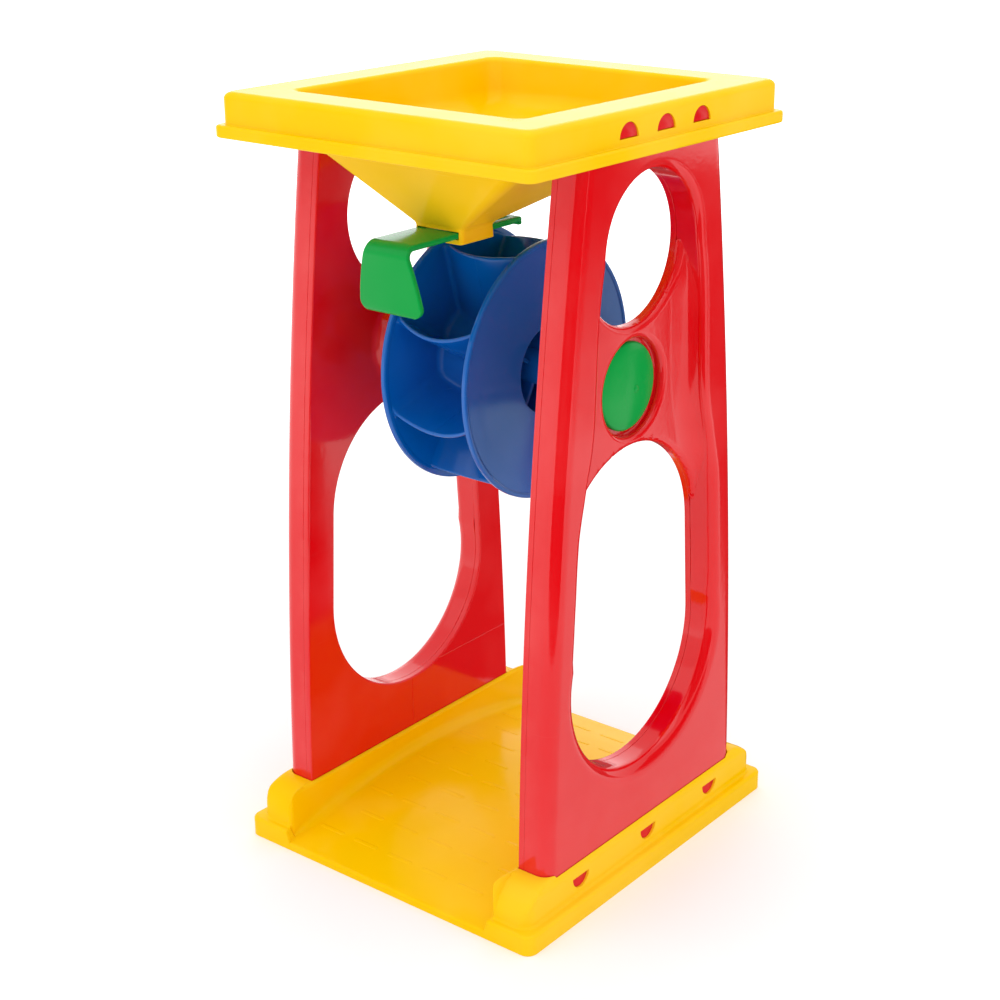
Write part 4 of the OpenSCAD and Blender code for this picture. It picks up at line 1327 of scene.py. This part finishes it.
def paper(name, grey):
    material = bpy.data.materials.new(name)
    material.use_nodes = True
    shader = material.node_tree.nodes["Principled BSDF"]
    shader.inputs["Base Color"].default_value = (grey, grey, grey, 1)
    shader.inputs["Roughness"].default_value = 0.9
    shader.inputs["Specular IOR Level"].default_value = 0.0
    return material


# %% [markdown]
# The floor is matt paper that glows faintly where it is looked at. The glow grows away from the toy, which
# leaves the soft shadow close by.

# %% White floor
def white_floor():
    """White everywhere in the background, with the toy's shadow close by."""
    white = paper("white_floor", 0.92)
    tree = white.node_tree
    shader = tree.nodes["Principled BSDF"]
    shader.inputs["Emission Color"].default_value = (1, 1, 1, 1)
    spot = node(tree, "ShaderNodeTexCoord").outputs["Object"]
    away = fed(tree, "ShaderNodeVectorMath", {0: spot}, operation="LENGTH").outputs["Value"]
    lift = total(tree, scaled(tree, ramp(tree, away, 0.2, 1.6), 0.6), 0.12)
    link(tree, scaled(tree, lift, in_view(tree)), shader.inputs["Emission Strength"])
    return white


# %% [markdown]
# Glossy plastic looks flat when all that it mirrors is white, so a photographer stands dark cards beside
# the set, and the rounded edges pick them up as deep red bands. These only show in mirrored light and
# take no light away.

# %% Dark cards
def graded_paper():
    """Pale paper that darkens upwards."""
    graded = paper("graded_card", 0.9)
    tree = graded.node_tree
    spot = node(tree, "ShaderNodeTexCoord").outputs["Object"]
    height = fed(tree, "ShaderNodeSeparateXYZ", {"Vector": spot}).outputs["Z"]
    fade = scaled(tree, ramp(tree, height, 0.0, 0.22), 0.8)
    link(tree, math_node(tree, "SUBTRACT", 0.9, fade), tree.nodes["Principled BSDF"].inputs["Base Color"])
    return graded


def card(name, corner, along, up, material):
    made = sheet(name, [corner, corner + along, corner + along + up, corner + up], material)
    made.visible_camera = made.visible_diffuse = made.visible_shadow = False
    return made


def dark_cards():
    """Cards in front of the toy, flat behind it and at its right; none is seen or shades anything."""
    near, far = Vector((0.795, -0.607, 0.0)), Vector((0.607, 0.795, 0.0))
    tall, off_floor = Vector((0, 0, 0.7)), Vector((0, 0, 0.001))
    dark = paper("dark_card", 0.1)
    return [card("standing_card", near * 0.48 - far * 0.6, far * 0.82, tall, dark),
            card("lying_card", far * 0.07 + off_floor, far * 1.93, near * -2, dark),
            card("graded_card", far * 0.72 + near * 0.05, near * 1.2, tall, graded_paper())]


# %% [markdown]
# Five soft lamps shape the toy: a key at the front left, a wide one above, a fill at the right, a low
# bounce for the undersides and one from behind.

# %% Lamps and sky
# Each lamp: its name, place, aim, size in metres and power in watts.
LAMPS = (("key", (-0.9, -1.2, 1.7), (0, 0, 0.15), 1.6, 3.2),
         ("top", (0.1, 0.1, 2.2), (0, 0, 0.3), 1.8, 9.5),
         ("fill", (1.4, -1.2, 0.6), (0, 0, 0.2), 1.4, 2.0),
         ("bounce", (0.5, -1.0, 0.05), (-0.02, 0, 0.3), 0.7, 1.2),
         ("back", (-1.5, 2.0, 1.1), (0, 0, 0.25), 1.8, 9))
FLOOR_HALF = 30.0


def studio():
    h = FLOOR_HALF
    floor = sheet("floor", [(-h, -h, 0), (h, -h, 0), (h, h, 0), (-h, h, 0)], white_floor())
    lamps = [lamp(*row) for row in LAMPS]
    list(dark_cards())
    world = bpy.data.worlds.new("studio")
    world.use_nodes = True
    tree = world.node_tree
    back = tree.nodes["Background"]
    back.inputs["Color"].default_value = (1, 1, 1, 1)
    link(tree, total(tree, scaled(tree, in_view(tree), 0.1), 0.9), back.inputs["Strength"])
    bpy.context.scene.world = world


studio()
print("lamps:", [row[0] for row in LAMPS])

# %% [markdown]
# The camera was fitted to the straight edges of the toy. Its turn and tilt are in degrees and its place
# in millimetres. Its focal length and the column of its axis are in pixels of a picture 1000 wide.

# %% Camera
YAW, PITCH, EYE = 37.536, -20.828, (542.35, -669.06, 503.19)
FOCAL, AXIS_COLUMN, PICTURE, SENSOR = 1846.26, 554.33, 1000, 36.0


def camera():
    yaw, pitch = math.radians(YAW), math.radians(PITCH)
    ahead = Vector((-math.sin(yaw) * math.cos(pitch), math.cos(yaw) * math.cos(pitch), math.sin(pitch)))
    right = Vector((math.cos(yaw), math.sin(yaw), 0))
    up = right.cross(ahead)
    data = bpy.data.cameras.new("camera")
    data.sensor_width, data.lens = SENSOR, FOCAL * SENSOR / PICTURE
    data.shift_x = -(AXIS_COLUMN - PICTURE / 2) / PICTURE
    obj = placed("camera", data)
    turn = Matrix((right, up, -ahead)).transposed().to_4x4()
    obj.matrix_world = Matrix.Translation(Vector(EYE) * MM) @ turn
    bpy.context.scene.camera = obj


camera()
bpy.context.scene.view_settings.view_transform = "Standard"
print("camera at", EYE)

# %% [markdown]
# ## Sizes
# The finished pieces make the mouldings finer than the packed solids, not bigger.
